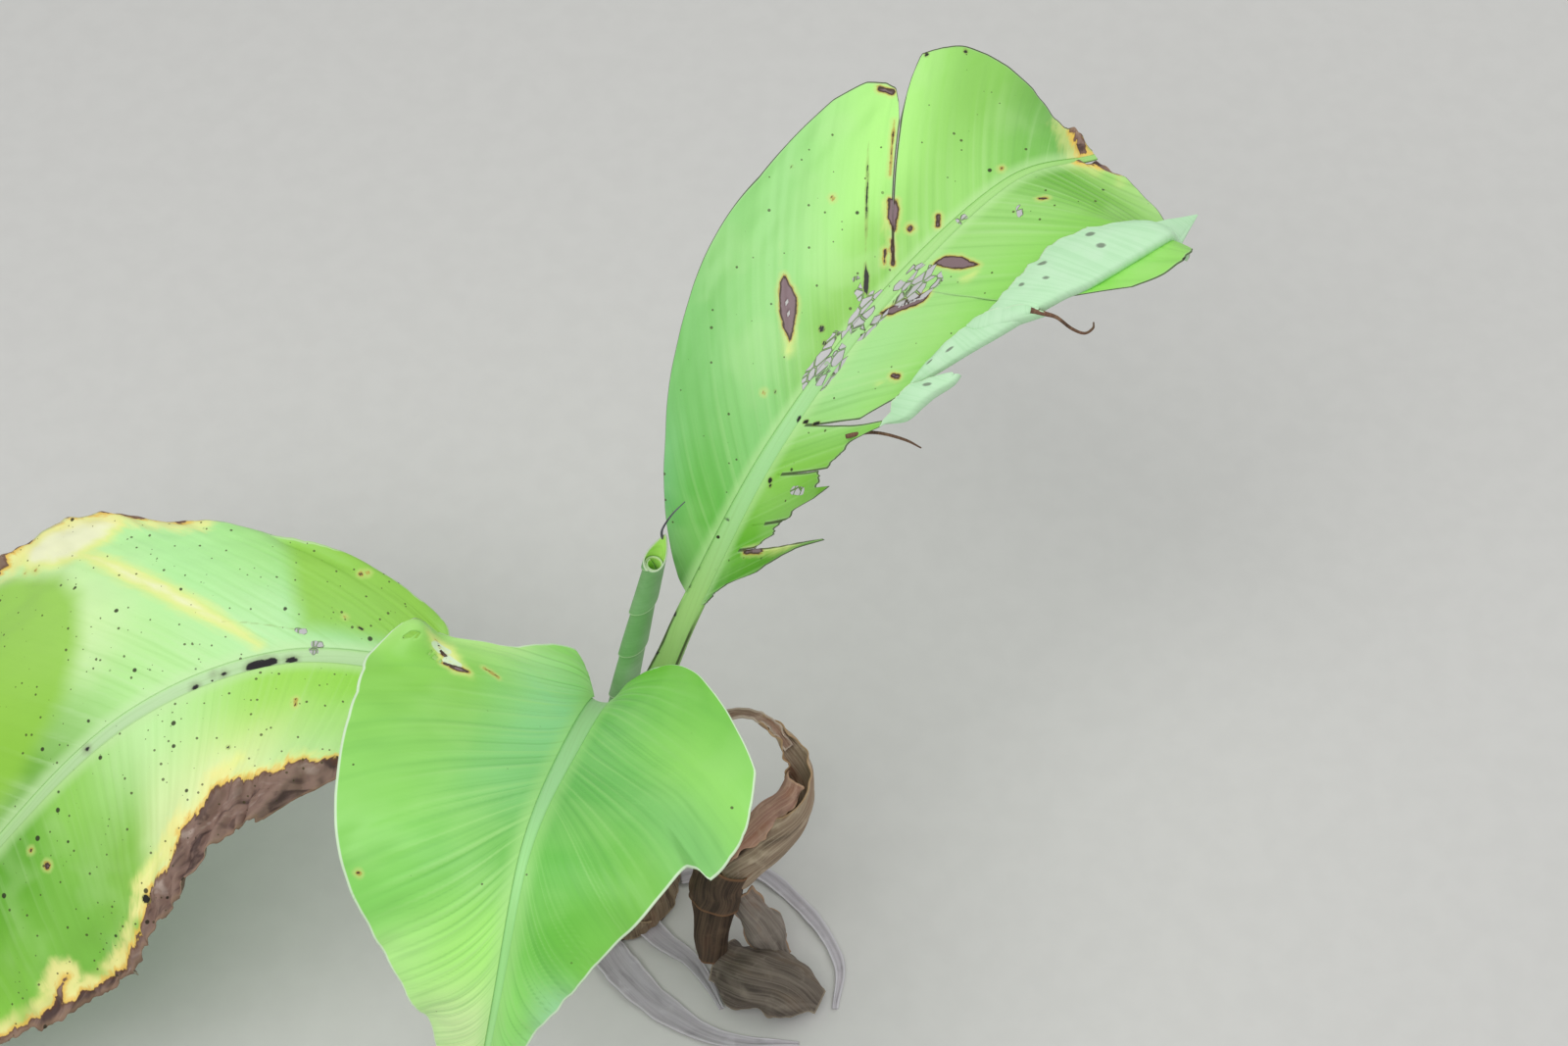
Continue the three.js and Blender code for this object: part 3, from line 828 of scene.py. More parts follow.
@dataclass(frozen=True)
class StalkSkin:
    """Living leaf stalk and rib: smooth and fleshy, with long fibres.

    The eye gets a pale channel, a lighter lip on each side, and stains where the stalk is old.
    """

    name: str
    channel: Tones
    lip: str
    lip_share: float
    specks: float
    line: float = 0.0
    bruise: float = 0.4

    def material(self) -> bpy.types.Material:
        """Builds the material."""
        keel = "#86b457"
        graph = Graph(self.name)
        place, body = graph.coordinates()
        graph.found["height"] = graph.add("ShaderNodeSeparateXYZ", feeds={0: body}).outputs[2]
        graph.fields("place", "channel", "lip", "scar", "pit")
        # Fibres lie 1.2 mm apart along the stalk, and its stains are 22 mm long.
        graph.grains(
            place, UV_UNIT, fibre=((1.2, 70, 100), 3.0, 0.0), stain=((5, 22, 100), 4.0, 0.4),
            mottle=((3, 5, 100), 4.0, 0.5),
        )
        graph.shifted(
            scar=("scar", "mottle", 3.0), pit=("pit", "mottle", 3.8), lip=("lip", "fibre", 0.12)
        )
        graph.masks(
            channel=("channel", 0.2, 0.8), fibres=("fibre", 0.48, 0.68), lip=("lip", 0.7, 1.0),
            line=("lip", 0.93, 0.99), stalk=("place", 0.5, 0.46), old=("height", 0.085, 0.02),
            stained=("stain", 0.5, 0.68), zone=("scar", -0.3, 0.3), pit=("pit", -0.5, 0.7),
            bruise=("pit", -3.5, 0.5),
        )
        graph.flakes("zone", 0.55)
        colour = graph.coats(
            keel, ("channel", graph.toned(self.channel)), ("fibres", 0.14, keel),
            ("lip", self.lip_share, self.lip), ("line", "stalk", self.line, "#37401f"),
            ("old", 0.75, "#a99a6c"), ("old", "stained", "#6b4f3b"),
            (graph.specks(body, 7.0, 1.0, self.specks), "#2f2c1b"),
            ("flaked", 0.85, "#4b463a"), ("flake", "#c9c6c6"),
            ("bruise", self.bruise, "#77705c"), ("pit", "#2a2528"),
        )
        return graph.finished(
            colour, 0.4, LEAF_IOR, ("fibre", 0.04), ("stain", 0.06), ("flake", 0.15)
        )


@dataclass(frozen=True)
class DriedLeaf:
    """Dead leaf tissue, dried on the plant: papery, softly ribbed along its fibres, quite dull.

    The eye gets broad tan and dark stains, fine fibres and thin light edges.
    """

    name: str
    pale: str
    body: str
    dark: str = "#3f3027"
    flush: str = "#8c6450"
    rim: str = "#b48f6b"
    fibre: float = 1.1
    fibre_share: float = 0.4

    def material(self) -> bpy.types.Material:
        """Builds the material."""
        graph = Graph(self.name)
        place, body = graph.coordinates()
        graph.fields("fold", "rim")
        # Dried fibres stand about a millimetre apart, and the stains are 30 mm long.
        graph.grains(
            place, UV_UNIT, fibre=((self.fibre, 60, 100), 3.0, 0.1), stain=((11, 30, 100), 3.0, 0.4)
        )
        graph.grains(body, METRE, mould=(9, 4.0, 0.4), dust=(0.8, 3.0, 0.0))
        graph.masks(
            fibres=("fibre", 0.42, 0.66), dark=("stain", 0.52, 0.68), flush=("stain", 0.48, 0.34),
            mouldy=("mould", 0.54, 0.74), dusty=("dust", 0.55, 0.75), fold=("fold", 0.2, 1.0),
            rim=("rim", 1.5, 0.3),
        )
        colour = graph.coats(
            self.body, ("flush", 0.7, self.flush), ("mouldy", 0.55, self.pale),
            ("dark", 0.7, self.dark), ("fibres", self.fibre_share, self.pale),
            ("dusty", 0.15, self.pale), ("fold", 0.25, self.pale), ("rim", 0.7, self.rim),
        )
        return graph.finished(
            colour, 0.75, LEAF_IOR, ("fibre", 0.16), ("mould", 0.3), ("dust", 0.04)
        )


class Piece:
    """A piece that is one skin. Each kind says how its skin lies and what it wears."""

    name: str
    slot: str
    nodes: tuple[str, ...]
    thickness: float

    def skin(self) -> Skin:
        """The flat skin."""
        raise NotImplementedError

    def layout(self, flat: Array) -> Laid:
        """Lays the skin's flat coordinates out in space, with the fields for its materials."""
        raise NotImplementedError

    def up(self, flat: Array) -> Array:
        """The directions that an open skin's faces look in."""
        raise NotImplementedError

    def materials(self) -> list[bpy.types.Material]:
        """The upper side's material, then the other side's where the skin is open."""
        raise NotImplementedError

    def build(self) -> None:
        """Builds the piece, dresses it, gives it its place in the frame and reports it."""
        is_open = self.thickness > 0
        piece = self.skin().laid_out(self.name, self.layout, self.up if is_open else None)
        if is_open:
            wall = piece.modifiers.new("thickness", "SOLIDIFY")
            wall.thickness = self.thickness * MM
            wall.offset = 0.0
            wall.material_offset = 1
        for material in self.materials():
            piece.data.materials.append(material)
        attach(piece, BODY)
        if self.nodes:
            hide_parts(*self.nodes)
        log.info("%s: %d faces, slot %s", piece.name, len(piece.data.polygons), self.slot)


@dataclass
class LimbPart(Piece):
    """One stretch of a leaf's gutter, closed at both ends: its stalk or its rib."""

    name: str
    slot: str
    nodes: tuple[str, ...]
    leaf: "GreenLeaf"
    start: float
    end: float
    face: bpy.types.Material
    thickness: float = 0.0

    def skin(self) -> Skin:
        """A grid along the gutter and round its wall."""
        rows = max(8, round(self.leaf.limb.length(self.start, self.end) / 1.6))
        return Skin.of(np.linspace(self.start, self.end, rows + 1), np.linspace(0, 1, 65))

    def layout(self, flat: Array) -> Laid:
        """Lays the gutter's wall, with the marks of the stalk and the rib."""
        limb = self.leaf.limb
        share, turn = flat[:, 0], flat[:, 1]
        points, inward = limb.wall_point(share, turn)
        half = np.where(turn < 0.5, turn, turn - 0.5)
        fields = {
            "channel": inward,
            "lip": np.abs(np.clip(half / 0.46, 0, 1) * 2 - 1),
            "place": share.copy(),
        }
        surface = BladeSurface(limb, self.leaf.blade_index, self.leaf.halves[0])
        marks = [self.on_limb(spot, surface.on_path) for spot in self.leaf.rib_spots]
        marks += [self.on_limb(spot, np.asarray) for spot in self.leaf.stalk_spots]
        for mark in (Mark.SCAR, Mark.PIT):
            depth = np.full(len(flat), OUTSIDE)
            for kind, line, size in marks:
                if kind is mark:
                    depth = np.maximum(depth, size - distance_to_line(points, line))
            fields[mark.value] = depth
        flat_place = np.stack([turn * station(limb.radius, share) * 3, share * limb.length()], axis=1)
        return Laid(points, flat_place, fields)

    def on_limb(self, spot: Spot, share_of: Callable[[Array], Array]) -> tuple[Mark, Array, float]:
        """Lays a mark on the stalk or the rib.

        Args:
            spot: the mark: places along the limb, and how far across it they are, -1 to 1.
            share_of: turns those places into shares of the limb.

        Returns:
            The mark's kind, its line in space, and by how much it outgrows that line.
        """
        at, over = np.array(spot.outline + spot.outline[:1]).T
        where = share_of(at)
        _, across, _ = self.leaf.limb.directions(where)
        out = station(self.leaf.limb.radius, where) * over
        return spot.mark, self.leaf.limb.middle(where) + across * out[:, None], spot.size

    def materials(self) -> list[bpy.types.Material]:
        """The stalk's own skin."""
        return [self.face]


@dataclass
class BladePart(Piece):
    """Half a blade as a piece, with its tears, holes, relief and marks."""

    name: str
    slot: str
    nodes: tuple[str, ...]
    leaf: "GreenLeaf"
    half: HalfBlade
    under: bpy.types.Material
    thickness: float = 0.6

    def __post_init__(self) -> None:
        """Measures the rib that carries the blade."""
        self.surface = BladeSurface(self.leaf.limb, self.leaf.blade_index, self.half)
        self.length = self.surface.rib_length()

    def skin(self) -> Skin:
        """A grid for each strip between two tears, with the blade's holes cut out."""
        skin = Skin()
        over = np.linspace(0, 1, self.leaf.columns + 1) ** 1.15
        for number, strip in enumerate(self.half.strips):
            # The rows keep even steps of a mix of the place and the way along the rib.
            fine = np.linspace(strip.start, strip.end, 400)
            run = (0.6 * blade_share(fine) + 0.4 * fine) * self.length
            rows = max(4, round((run[-1] - run[0]) / self.leaf.row_pitch))
            skin.grid(np.interp(np.linspace(run[0], run[-1], rows + 1), run, fine), over, number)
        self.cut_holes(skin)
        return skin

    def layout(self, flat: Array) -> Laid:
        """Lays the half blade out with its relief and its marks."""
        half = self.half
        at, reach, lift, rim = self.spread(flat)
        base = self.surface.point(at, reach)
        fields = self.marks_on(at, reach, base)
        width = np.maximum(station(half.width, at), 0)
        out = reach * width
        travelled = blade_share(at) * self.length
        grown = half.slant_fade * (1 - np.exp(-reach / half.slant_fade))
        run = travelled - station(half.slant, at) * width * grown
        fields |= {"ridge": self.ridge(run), "place": at, "out": out}
        height = lift + self.height(run, reach, out, at, fields)
        for swelling in half.swellings:
            place, far = np.array([swelling.place]).T
            away = np.linalg.norm(base - self.surface.point(place, far), axis=1)
            height = height + swelling.height * np.exp(-((away / swelling.radius) ** 2))
        points = base + self.surface.normal(at, reach) * height[:, None]
        if half.lobe:
            along, _, _ = self.leaf.limb.directions(self.surface.on_path(at))
            bulge = np.sin(np.pi * np.clip(reach / 0.95, 0, 1) ** 0.75) ** 0.7
            points = points - along * (half.lobe * np.exp(-travelled / 13) * bulge)[:, None]
        fields["rim"] = np.minimum(rim, self.hole_distance(at, reach, base))
        return Laid(points, np.stack([run, out], axis=1), fields)

    def up(self, flat: Array) -> Array:
        """Out of the blade's upper side."""
        at, reach, _, _ = self.spread(flat)
        return self.surface.normal(at, reach)

    def materials(self) -> list[bpy.types.Material]:
        """The living upper side and the waxy underside."""
        return [self.half.finish.material(), self.under]

    def spread(self, flat: Array) -> tuple[Array, Array, Array, Array]:
        """Turns a skin's flat coordinates into places on the blade, with its tears open.

        Args:
            flat: places along the rib, even shares of the vein, and strip numbers.

        Returns:
            Places, vein shares, lifts, and distances from the nearest free edge.
        """
        at = flat[:, 0].copy()
        reach = flat[:, 1].copy()
        lift = np.zeros(len(flat))
        rim = np.full(len(flat), NO_RIM)
        for number, strip in enumerate(self.half.strips):
            mine = np.round(flat[:, 2]).astype(int) == number
            place, out = flat[mine, 0], flat[mine, 1]
            margin = np.interp(place, *np.array(strip.margin).T)
            if strip.ragged:
                along = place[:, None] * self.length * 1.4
                wobble = ripple(along, strip.ragged_size, 40 + number, 4)
                edge_width = np.maximum(station(self.half.width, place), 8)
                margin = margin + strip.ragged * wobble / edge_width
            kept = max([edge for edge in (strip.open_start, strip.open_end) if edge < 1] or [0.0])
            longer = kept + (out - kept) * (margin - kept) / (1 - kept)
            reach[mine] = np.where(out <= kept, out, longer)
            per_place = self.length * np.pi / 2 * np.sin(np.pi * place)
            rim[mine] = (margin - reach[mine]) * np.maximum(station(self.half.width, place), 1)
            sides = (
                (strip.start, strip.open_start, strip.gape_start, strip.lift_start, 1),
                (strip.end, strip.open_end, strip.gape_end, strip.lift_end, -1),
            )
            for edge, opened, gape, raised, way in sides:
                if opened >= 1:
                    continue
                away = np.abs(place - edge) * per_place
                free = smoothstep(opened, 1.0, reach[mine])
                near = np.exp(-away / 14)
                at[mine] += way * gape * free * near / per_place
                lift[mine] += raised * free * near
                shut = 0.8 if gape < 0.2 else 0
                torn = np.where(reach[mine] > opened, away * 0.8 + shut, NO_RIM)
                rim[mine] = np.minimum(rim[mine], torn)
        return at, reach, lift, np.maximum(rim, 0)

    def ridge(self, run: Array) -> Array:
        """Crests and troughs of the side veins, about -1 to 1, by millimetres along the rib."""
        pitch, seed = self.half.relief.ridge_pitch, self.half.relief.seed
        fine = ripple(run[:, None], pitch, 30 + seed, 2)
        broad = ripple(run[:, None], pitch * 3.5, 50 + seed, 1)
        return np.clip(0.9 * fine + 0.6 * broad, -1.2, 1.2)

    def height(
        self, run: Array, reach: Array, out: Array, at: Array, fields: dict[str, Array]
    ) -> Array:
        """How far the surface stands off its smooth shape, in millimetres.

        Args:
            run: millimetres along the rib that the fine vein at each place has come.
            reach: shares of the side vein.
            out: millimetres along the side vein.
            at: places along the rib.
            fields: the ridges, and how deep each place lies in the dead parts.

        Returns:
            Millimetres, upwards.
        """
        half, relief = self.half, self.half.relief
        plane = np.stack([run, out], axis=1)
        made = relief.ridge * fields["ridge"] * smoothstep(0, 14, out) * (1 - 0.8 * reach**3)
        made += 0.45 * np.exp(-out / 3)
        made += relief.wave * ripple(plane, 70, relief.seed) * smoothstep(0.1, 0.9, reach)
        edge = smoothstep(0.6, 1.0, reach)
        made += relief.flutter * ripple(plane[:, :1], 34, relief.seed + 7, 2) * edge
        decay = fields["decay"]
        crumple = 4.2 * ripple(plane, 42, relief.seed + 3) - 0.22 * decay.clip(0, 30)
        made += smoothstep(-6, 8, decay) * crumple
        if half.fold_line:
            line = np.interp(at, *np.array(half.fold_line).T)
            made -= half.fold_drop * smoothstep(0, half.fold_width, reach - line)
        return made

    def spots_of(self, mark: Mark) -> list[Spot]:
        """The half's spots of one kind."""
        return [spot for spot in self.half.spots if spot.mark is mark]

    def marks_on(self, at: Array, reach: Array, points: Array) -> dict[str, Array]:
        """The fields that the material reads, in millimetres into each mark or as a share."""
        fields = {}
        for mark in list(Mark)[:-1]:
            found = np.full(len(at), OUTSIDE)
            for spot in self.spots_of(mark):
                found = np.maximum(found, self.depth_in(spot, at, reach, points))
            fields[mark.value] = found
        fields["gold"] = 1.2 * smoothstep(-9, 9, fields["gold"])
        return fields

    def depth_in(self, spot: Spot, at: Array, reach: Array, points: Array) -> Array:
        """How deep points lie in a spot, in millimetres. Outside it the depth is negative."""
        corners = np.array(spot.outline)
        if len(corners) == 1:
            middle = self.surface.point(corners[:, 0], corners[:, 1])[0]
            return spot.size - np.linalg.norm(points - middle, axis=1)
        ring = np.vstack([corners, corners[:1]]) if len(corners) > 2 else corners
        steps = np.linspace(0, len(ring) - 1, (len(ring) - 1) * 4 + 1)
        line = [np.interp(steps, range(len(ring)), ring[:, axis]) for axis in (0, 1)]
        away = distance_to_line(points, self.surface.point(*line))
        if len(corners) > 2:
            away = np.where(inside_of(np.stack([at, reach], axis=1), corners), -away, away)
        return spot.size - away

    def cut_holes(self, skin: Skin) -> None:
        """Cuts the blade's holes out of its skin."""
        for spot in self.spots_of(Mark.HOLE):
            flat = skin.coordinates()
            corners = np.array(spot.outline)
            inside = inside_of(flat[:, :2], corners)
            middle = corners[:, 0].mean()
            width = float(station(self.half.width, np.array([middle]))[0])
            scale = np.array([self.length * np.pi / 2 * np.sin(np.pi * middle), width])
            ring = np.vstack([corners, corners[:1]]) * scale
            moved = flat.copy()
            for index in np.flatnonzero(inside):
                place = flat[index, :2] * scale
                near = [
                    start + (end - start) * share_on(place, start, end - start)
                    for start, end in zip(ring[:-1], ring[1:])
                ]
                best = min(near, key=lambda point: float(np.linalg.norm(point - place)))
                moved[index, :2] = best / scale
            skin.punch(inside, moved)

    def hole_distance(self, at: Array, reach: Array, points: Array) -> Array:
        """Distances from the nearest hole's rim."""
        away = np.full(len(at), NO_RIM)
        for spot in self.spots_of(Mark.HOLE):
            away = np.minimum(away, np.abs(self.depth_in(spot, at, reach, points)))
        return away


@dataclass
class GreenLeaf:
    """One living leaf: its sheath and stalk, its rib and the two halves of its blade."""

    name: str
    limb: Limb
    blade_index: int
    halves: tuple[HalfBlade, HalfBlade]
    under: BladeUnderside
    stalk: StalkSkin
    slot: str
    row_pitch: float
    columns: int
    rib_spots: tuple[Spot, ...] = ()
    stalk_spots: tuple[Spot, ...] = ()

    def build(self) -> None:
        """Builds and dresses the stalk, the rib and both halves."""
        skin = self.stalk.material()
        base = self.blade_index / (len(self.limb.path) - 1)
        for part, slot, *span in (("stalk", "leaf_stalk", 0.0, base), ("midrib", "midrib", base, 1.0)):
            name = f"{self.name}_{part}"
            LimbPart(f"{name}_skin", slot, (name,), self, *span, skin).build()
        under = self.under.material()
        for half in self.halves:
            nodes = (f"{self.name}_blade_{half.name}",)
            BladePart(f"{self.name}_{half.name}_half", self.slot, nodes, self, half, under).build()


@dataclass
class TornFold(Piece):
    """A part of the back leaf that folded over its upper side and shows its underside."""

    leaf: GreenLeaf
    name: str
    crease: Pairs
    margin: Pairs
    lift: tuple[float, ...]
    long: float
    wide: float
    nodes: tuple[str, ...] = ()
    arch: float = 0.35
    scallop: float = 0.03
    tip: tuple[float, float, float] | None = None
    tip_start: float = 0.9
    spots: tuple[tuple[float, float, float], ...] = ()
    slot: str = "blade_underside"
    thickness: float = 0.6
    roll: float = 0.2

    def __post_init__(self) -> None:
        """Finds the half blade that the fold lies on."""
        self.half = self.leaf.halves[1]
        self.surface = BladeSurface(self.leaf.limb, self.leaf.blade_index, self.half)

    def skin(self) -> Skin:
        """A grid along the fold and over it."""
        rows = max(24, round(self.long / 1.1))
        return Skin.of(np.linspace(0, 1, rows + 1), np.linspace(0, 1, 41))

    def places(self, flat: Array) -> tuple[Array, Array, Array]:
        """Places on the blade, vein shares and shares of the way past the roll."""
        share = np.minimum(flat[:, 0] / self.tip_start, 1) if self.tip else flat[:, 0]
        over = flat[:, 1]
        wobble = ripple(share[:, None] * self.long, 15, 5, 4)
        scallop = 1 - self.scallop * wobble * smoothstep(0.5, 1, over)
        beyond = np.clip((over - self.roll) / (1 - self.roll), 0, 1)
        back = (0.35 * smoothstep(0, 1, beyond) + 0.65 * beyond) * scallop
        at, reach = (
            station(tuple(near), share) * (1 - back) + station(tuple(far), share) * back
            for near, far in zip(np.array(self.crease).T, np.array(self.margin).T)
        )
        return at, reach, beyond

    def layout(self, flat: Array) -> Laid:
        """Rolls the strip up at its crease and lays it over the blade."""
        at, reach, beyond = self.places(flat)
        share, over = flat[:, 0], flat[:, 1]
        high = station(self.lift, share)
        turn = np.clip(over / self.roll, 0, 1) * np.pi
        base = self.surface.point(at, reach)
        inner = self.surface.point(at, np.maximum(reach - 0.02, 0.01))
        plane = np.stack([share * self.long, over * self.wide], 1)
        height = high / 2 * (1 - np.cos(turn)) + high * self.arch * np.sin(np.pi * beyond)
        height = height + 0.7 * over * ripple(plane, 34, 9, 2)
        bulge = unit(base - inner) * (np.sin(turn) * high * 0.45)[:, None]
        points = base + bulge + self.surface.normal(at, reach) * height[:, None]
        if self.tip:
            drawn = np.clip((share - self.tip_start) / (1 - self.tip_start), 0, 1)[:, None]
            points = points * (1 - drawn) + np.array(self.tip) * drawn
        fields = {name: np.full(len(flat), OUTSIDE) for name in ("decay", "lesion", "pit")}
        fields |= {"place": at, "out": reach * 80, "rim": (1 - over) * self.wide}
        for place, far, size in self.spots:
            away = np.hypot((share - place) * self.long, (over - far) * self.wide)
            fields["pit"] = np.maximum(fields["pit"], size - away)
        return Laid(points, plane, fields)

    def up(self, flat: Array) -> Array:
        """The side that is up once it has folded over."""
        at, reach, _ = self.places(flat)
        return self.surface.normal(at, reach) * smoothstep(0.3, 0.6, flat[:, 1])[:, None]

    def materials(self) -> list[bpy.types.Material]:
        """The waxy underside, which is up here, and the living side."""
        return [self.leaf.under.material(), self.half.finish.material()]


@dataclass
class DryThread(Piece):
    """A thin dried thread that a torn edge or a tip ends in."""

    name: str
    limb: Limb
    finish: DriedLeaf
    slot: str
    nodes: tuple[str, ...] = ()
    thickness: float = 0.0

    def skin(self) -> Skin:
        """A grid along the thread and round it."""
        return Skin.of(np.linspace(0, 1, max(24, round(self.limb.length()))), np.linspace(0, 1, 11))

    def layout(self, flat: Array) -> Laid:
        """Winds the skin round the thread's line."""
        size = station(self.limb.radius, flat[:, 0])
        points = self.limb.around(flat[:, 0], flat[:, 1] * 2 * np.pi, size)
        fields = {"fold": np.zeros(len(flat)), "rim": np.full(len(flat), NO_RIM)}
        return Laid(points, flat[:, :2] * [self.limb.length(), 4], fields)

    def materials(self) -> list[bpy.types.Material]:
        """Its dried tissue."""
        return [self.finish.material()]


@dataclass
class RolledLeaf(Piece):
    """The youngest leaf, still rolled up like a scroll that ends in a pointed lip.

    It makes some turns from its outer to its inner edge, a gap apart, and they wind down the
    leaf by the twist. The lip points the way that its angle gives.
    """

    limb: Limb
    finish: BladeUnderside
    inner: LivingBlade
    name: str = "rolled_leaf_scroll"
    slot: str = "rolled_leaf"
    nodes: tuple[str, ...] = ("rolled_leaf",)
    thickness: float = 0.7
    turns: float = 2.3
    twist_turns: float = -6.0
    gap: float = 0.9
    wide: float = 90.0
    lip: float = 21.0
    lip_angle: float = -1.2
    lip_width: float = 1.15

    def skin(self) -> Skin:
        """A grid along the leaf and round its scroll."""
        return Skin.of(np.linspace(0, 1, 191), np.linspace(0, 1, 171))

    def angle(self, flat: Array) -> Array:
        """How far round the scroll each place lies."""
        return 2 * np.pi * (self.turns * flat[:, 1] + self.twist_turns * flat[:, 0]) + 1.9

    def layout(self, flat: Array) -> Laid:
        """Rolls the sheet up and draws its outer turn out to the pointed lip."""
        share, over = flat[:, 0], flat[:, 1]
        turn = self.angle(flat)
        size = station(self.limb.radius, share) - self.gap * self.turns * over
        points = self.limb.around(share, turn, np.maximum(size, 0.8))
        facing = np.mod(turn - self.lip_angle + np.pi, 2 * np.pi) - np.pi
        rise = np.exp(-((np.abs(facing) / self.lip_width) ** 1.3)) * smoothstep(0.84, 1.0, share)
        rise = rise * smoothstep(0.6, 0.3, over)
        along, _, _ = self.limb.directions(share)
        points = points + along * (self.lip * rise)[:, None]
        out = over * self.wide
        up_to_tip = self.limb.length()
        fields = {
            name: np.full(len(flat), OUTSIDE) for name in ("decay", "lesion", "scar", "pit", "deep")
        }
        fields |= {"gold": np.zeros(len(flat)), "place": share.copy(), "out": out}
        fields |= {"ridge": np.sin(out), "rim": np.minimum(out, (1 - share) * up_to_tip)}
        return Laid(points, np.stack([out, share * up_to_tip], 1), fields)

    def up(self, flat: Array) -> Array:
        """Outward from the scroll's middle."""
        return self.limb.outward(flat[:, 0], self.angle(flat))

    def materials(self) -> list[bpy.types.Material]:
        """The waxy outer side and the living inner side."""
        return [self.finish.material(), self.inner.material()]


@dataclass
class DrySheet(Piece):
    """A dried part of an old leaf: a thin curled sheet with soft creases and a worn edge."""

    name: str
    limb: Limb
    finish: DriedLeaf
    slot: str
    nodes: tuple[str, ...] = ()
    crumple: float = 0.9
    crumple_size: float = 30.0
    crease: float = 0.3
    creases: float = 6.0
    ragged: float = 0.05
    thickness: float = 0.7
    seed: int = 1

    def skin(self) -> Skin:
        """A grid along the sheet and from one side of it to the other."""
        rows = max(40, round(self.limb.length() / 0.8))
        return Skin.of(np.linspace(0, 1, rows + 1), np.linspace(-1, 1, 65))

    def turned(self, flat: Array) -> Array:
        """How far round the limb each place lies, with the worn edges."""
        wobble = ripple(flat[:, :1] * self.limb.length(), 26, self.seed, 3)
        wrap = np.radians(station(self.limb.wrap, flat[:, 0]))
        return flat[:, 1] * wrap * (1 + self.ragged * wobble * flat[:, 1] ** 4)

    def layout(self, flat: Array) -> Laid:
        """Bends the sheet round its limb and creases it."""
        share, over = flat[:, 0], flat[:, 1]
        length = self.limb.length()
        radius = station(self.limb.radius, share)
        turned = self.turned(flat)
        plane = np.stack([share * length, radius * turned], 1)
        along = plane[:, :1]
        folds = np.sin(over * self.creases * np.pi + 2 * ripple(along, 60, self.seed, 1))
        size = radius - 1.2
        size = size + self.crumple * ripple(plane, self.crumple_size, self.seed + 1, 2)
        size = size + self.crease * folds
        curl = smoothstep(0.7, 1.0, np.abs(over))
        size = size + 1.4 * ripple(along, 18, self.seed + 2, 2) * curl
        ends = np.minimum(share, 1 - share) * length
        side = (1 - np.abs(over)) * radius * np.radians(station(self.limb.wrap, share))
        points = self.limb.around(share, turned, np.maximum(size, 1.0))
        fields = {"fold": np.clip(folds, 0, 1), "rim": np.minimum(side, ends)}
        return Laid(points, plane[:, ::-1], fields)

    def up(self, flat: Array) -> Array:
        """Outward from the limb's line."""
        return self.limb.outward(flat[:, 0], self.turned(flat))

    def materials(self) -> list[bpy.types.Material]:
        """Its dried tissue on both sides."""
        return [self.finish.material()] * 2


@dataclass
class DryStrap(Piece):
    """An old leaf's strap, dry and twisted, flat on the ground."""

    name: str
    path: tuple[tuple[float, float, float], ...]
    width: tuple[float, ...]
    finish: DriedLeaf
    seed: int
    nodes: tuple[str, ...] = ()
    thickness: float = 0.7
    slot: str = "dry_strap"

    def __post_init__(self) -> None:
        """Lays the strap's line."""
        self.limb = Limb(self.path, self.width, (90, 90), 0)

    def skin(self) -> Skin:
        """A grid along the strap and across it."""
        return Skin.of(np.linspace(0, 1, round(self.limb.length()) + 1), np.linspace(-1, 1, 25))

    def layout(self, flat: Array) -> Laid:
        """Lays the strap along its line, with curled sides."""
        share, over = flat[:, 0], flat[:, 1]
        _, across, _ = self.limb.directions(share)
        wide = station(self.width, share) / 2
        plane = np.stack([share * self.limb.length(), over * wide], 1)
        along = plane[:, :1]
        wide = wide * (1 + 0.06 * ripple(along, 30, self.seed + 3, 2) * over**2)
        points = self.limb.middle(share) + across * (over * wide)[:, None]
        curl = over**2 * wide * 0.3 * (0.6 + 0.4 * np.sin(share * 9 + self.seed))
        folds = np.sin(over * 7 + 1.5 * ripple(along, 80, self.seed, 1))
        height = 0.9 + curl + 0.22 * folds + 0.4 * ripple(plane, 40, self.seed + 1, 2)
        points[:, 2] += np.maximum(height, 0.45)
        fields = {"fold": np.clip(folds, 0, 1), "rim": (1 - np.abs(over)) * wide}
        return Laid(points, plane[:, ::-1], fields)

    def up(self, flat: Array) -> Array:
        """Away from the ground."""
        return skyward(flat)

    def materials(self) -> list[bpy.types.Material]:
        """Its dried tissue on both sides."""
        return [self.finish.material()] * 2


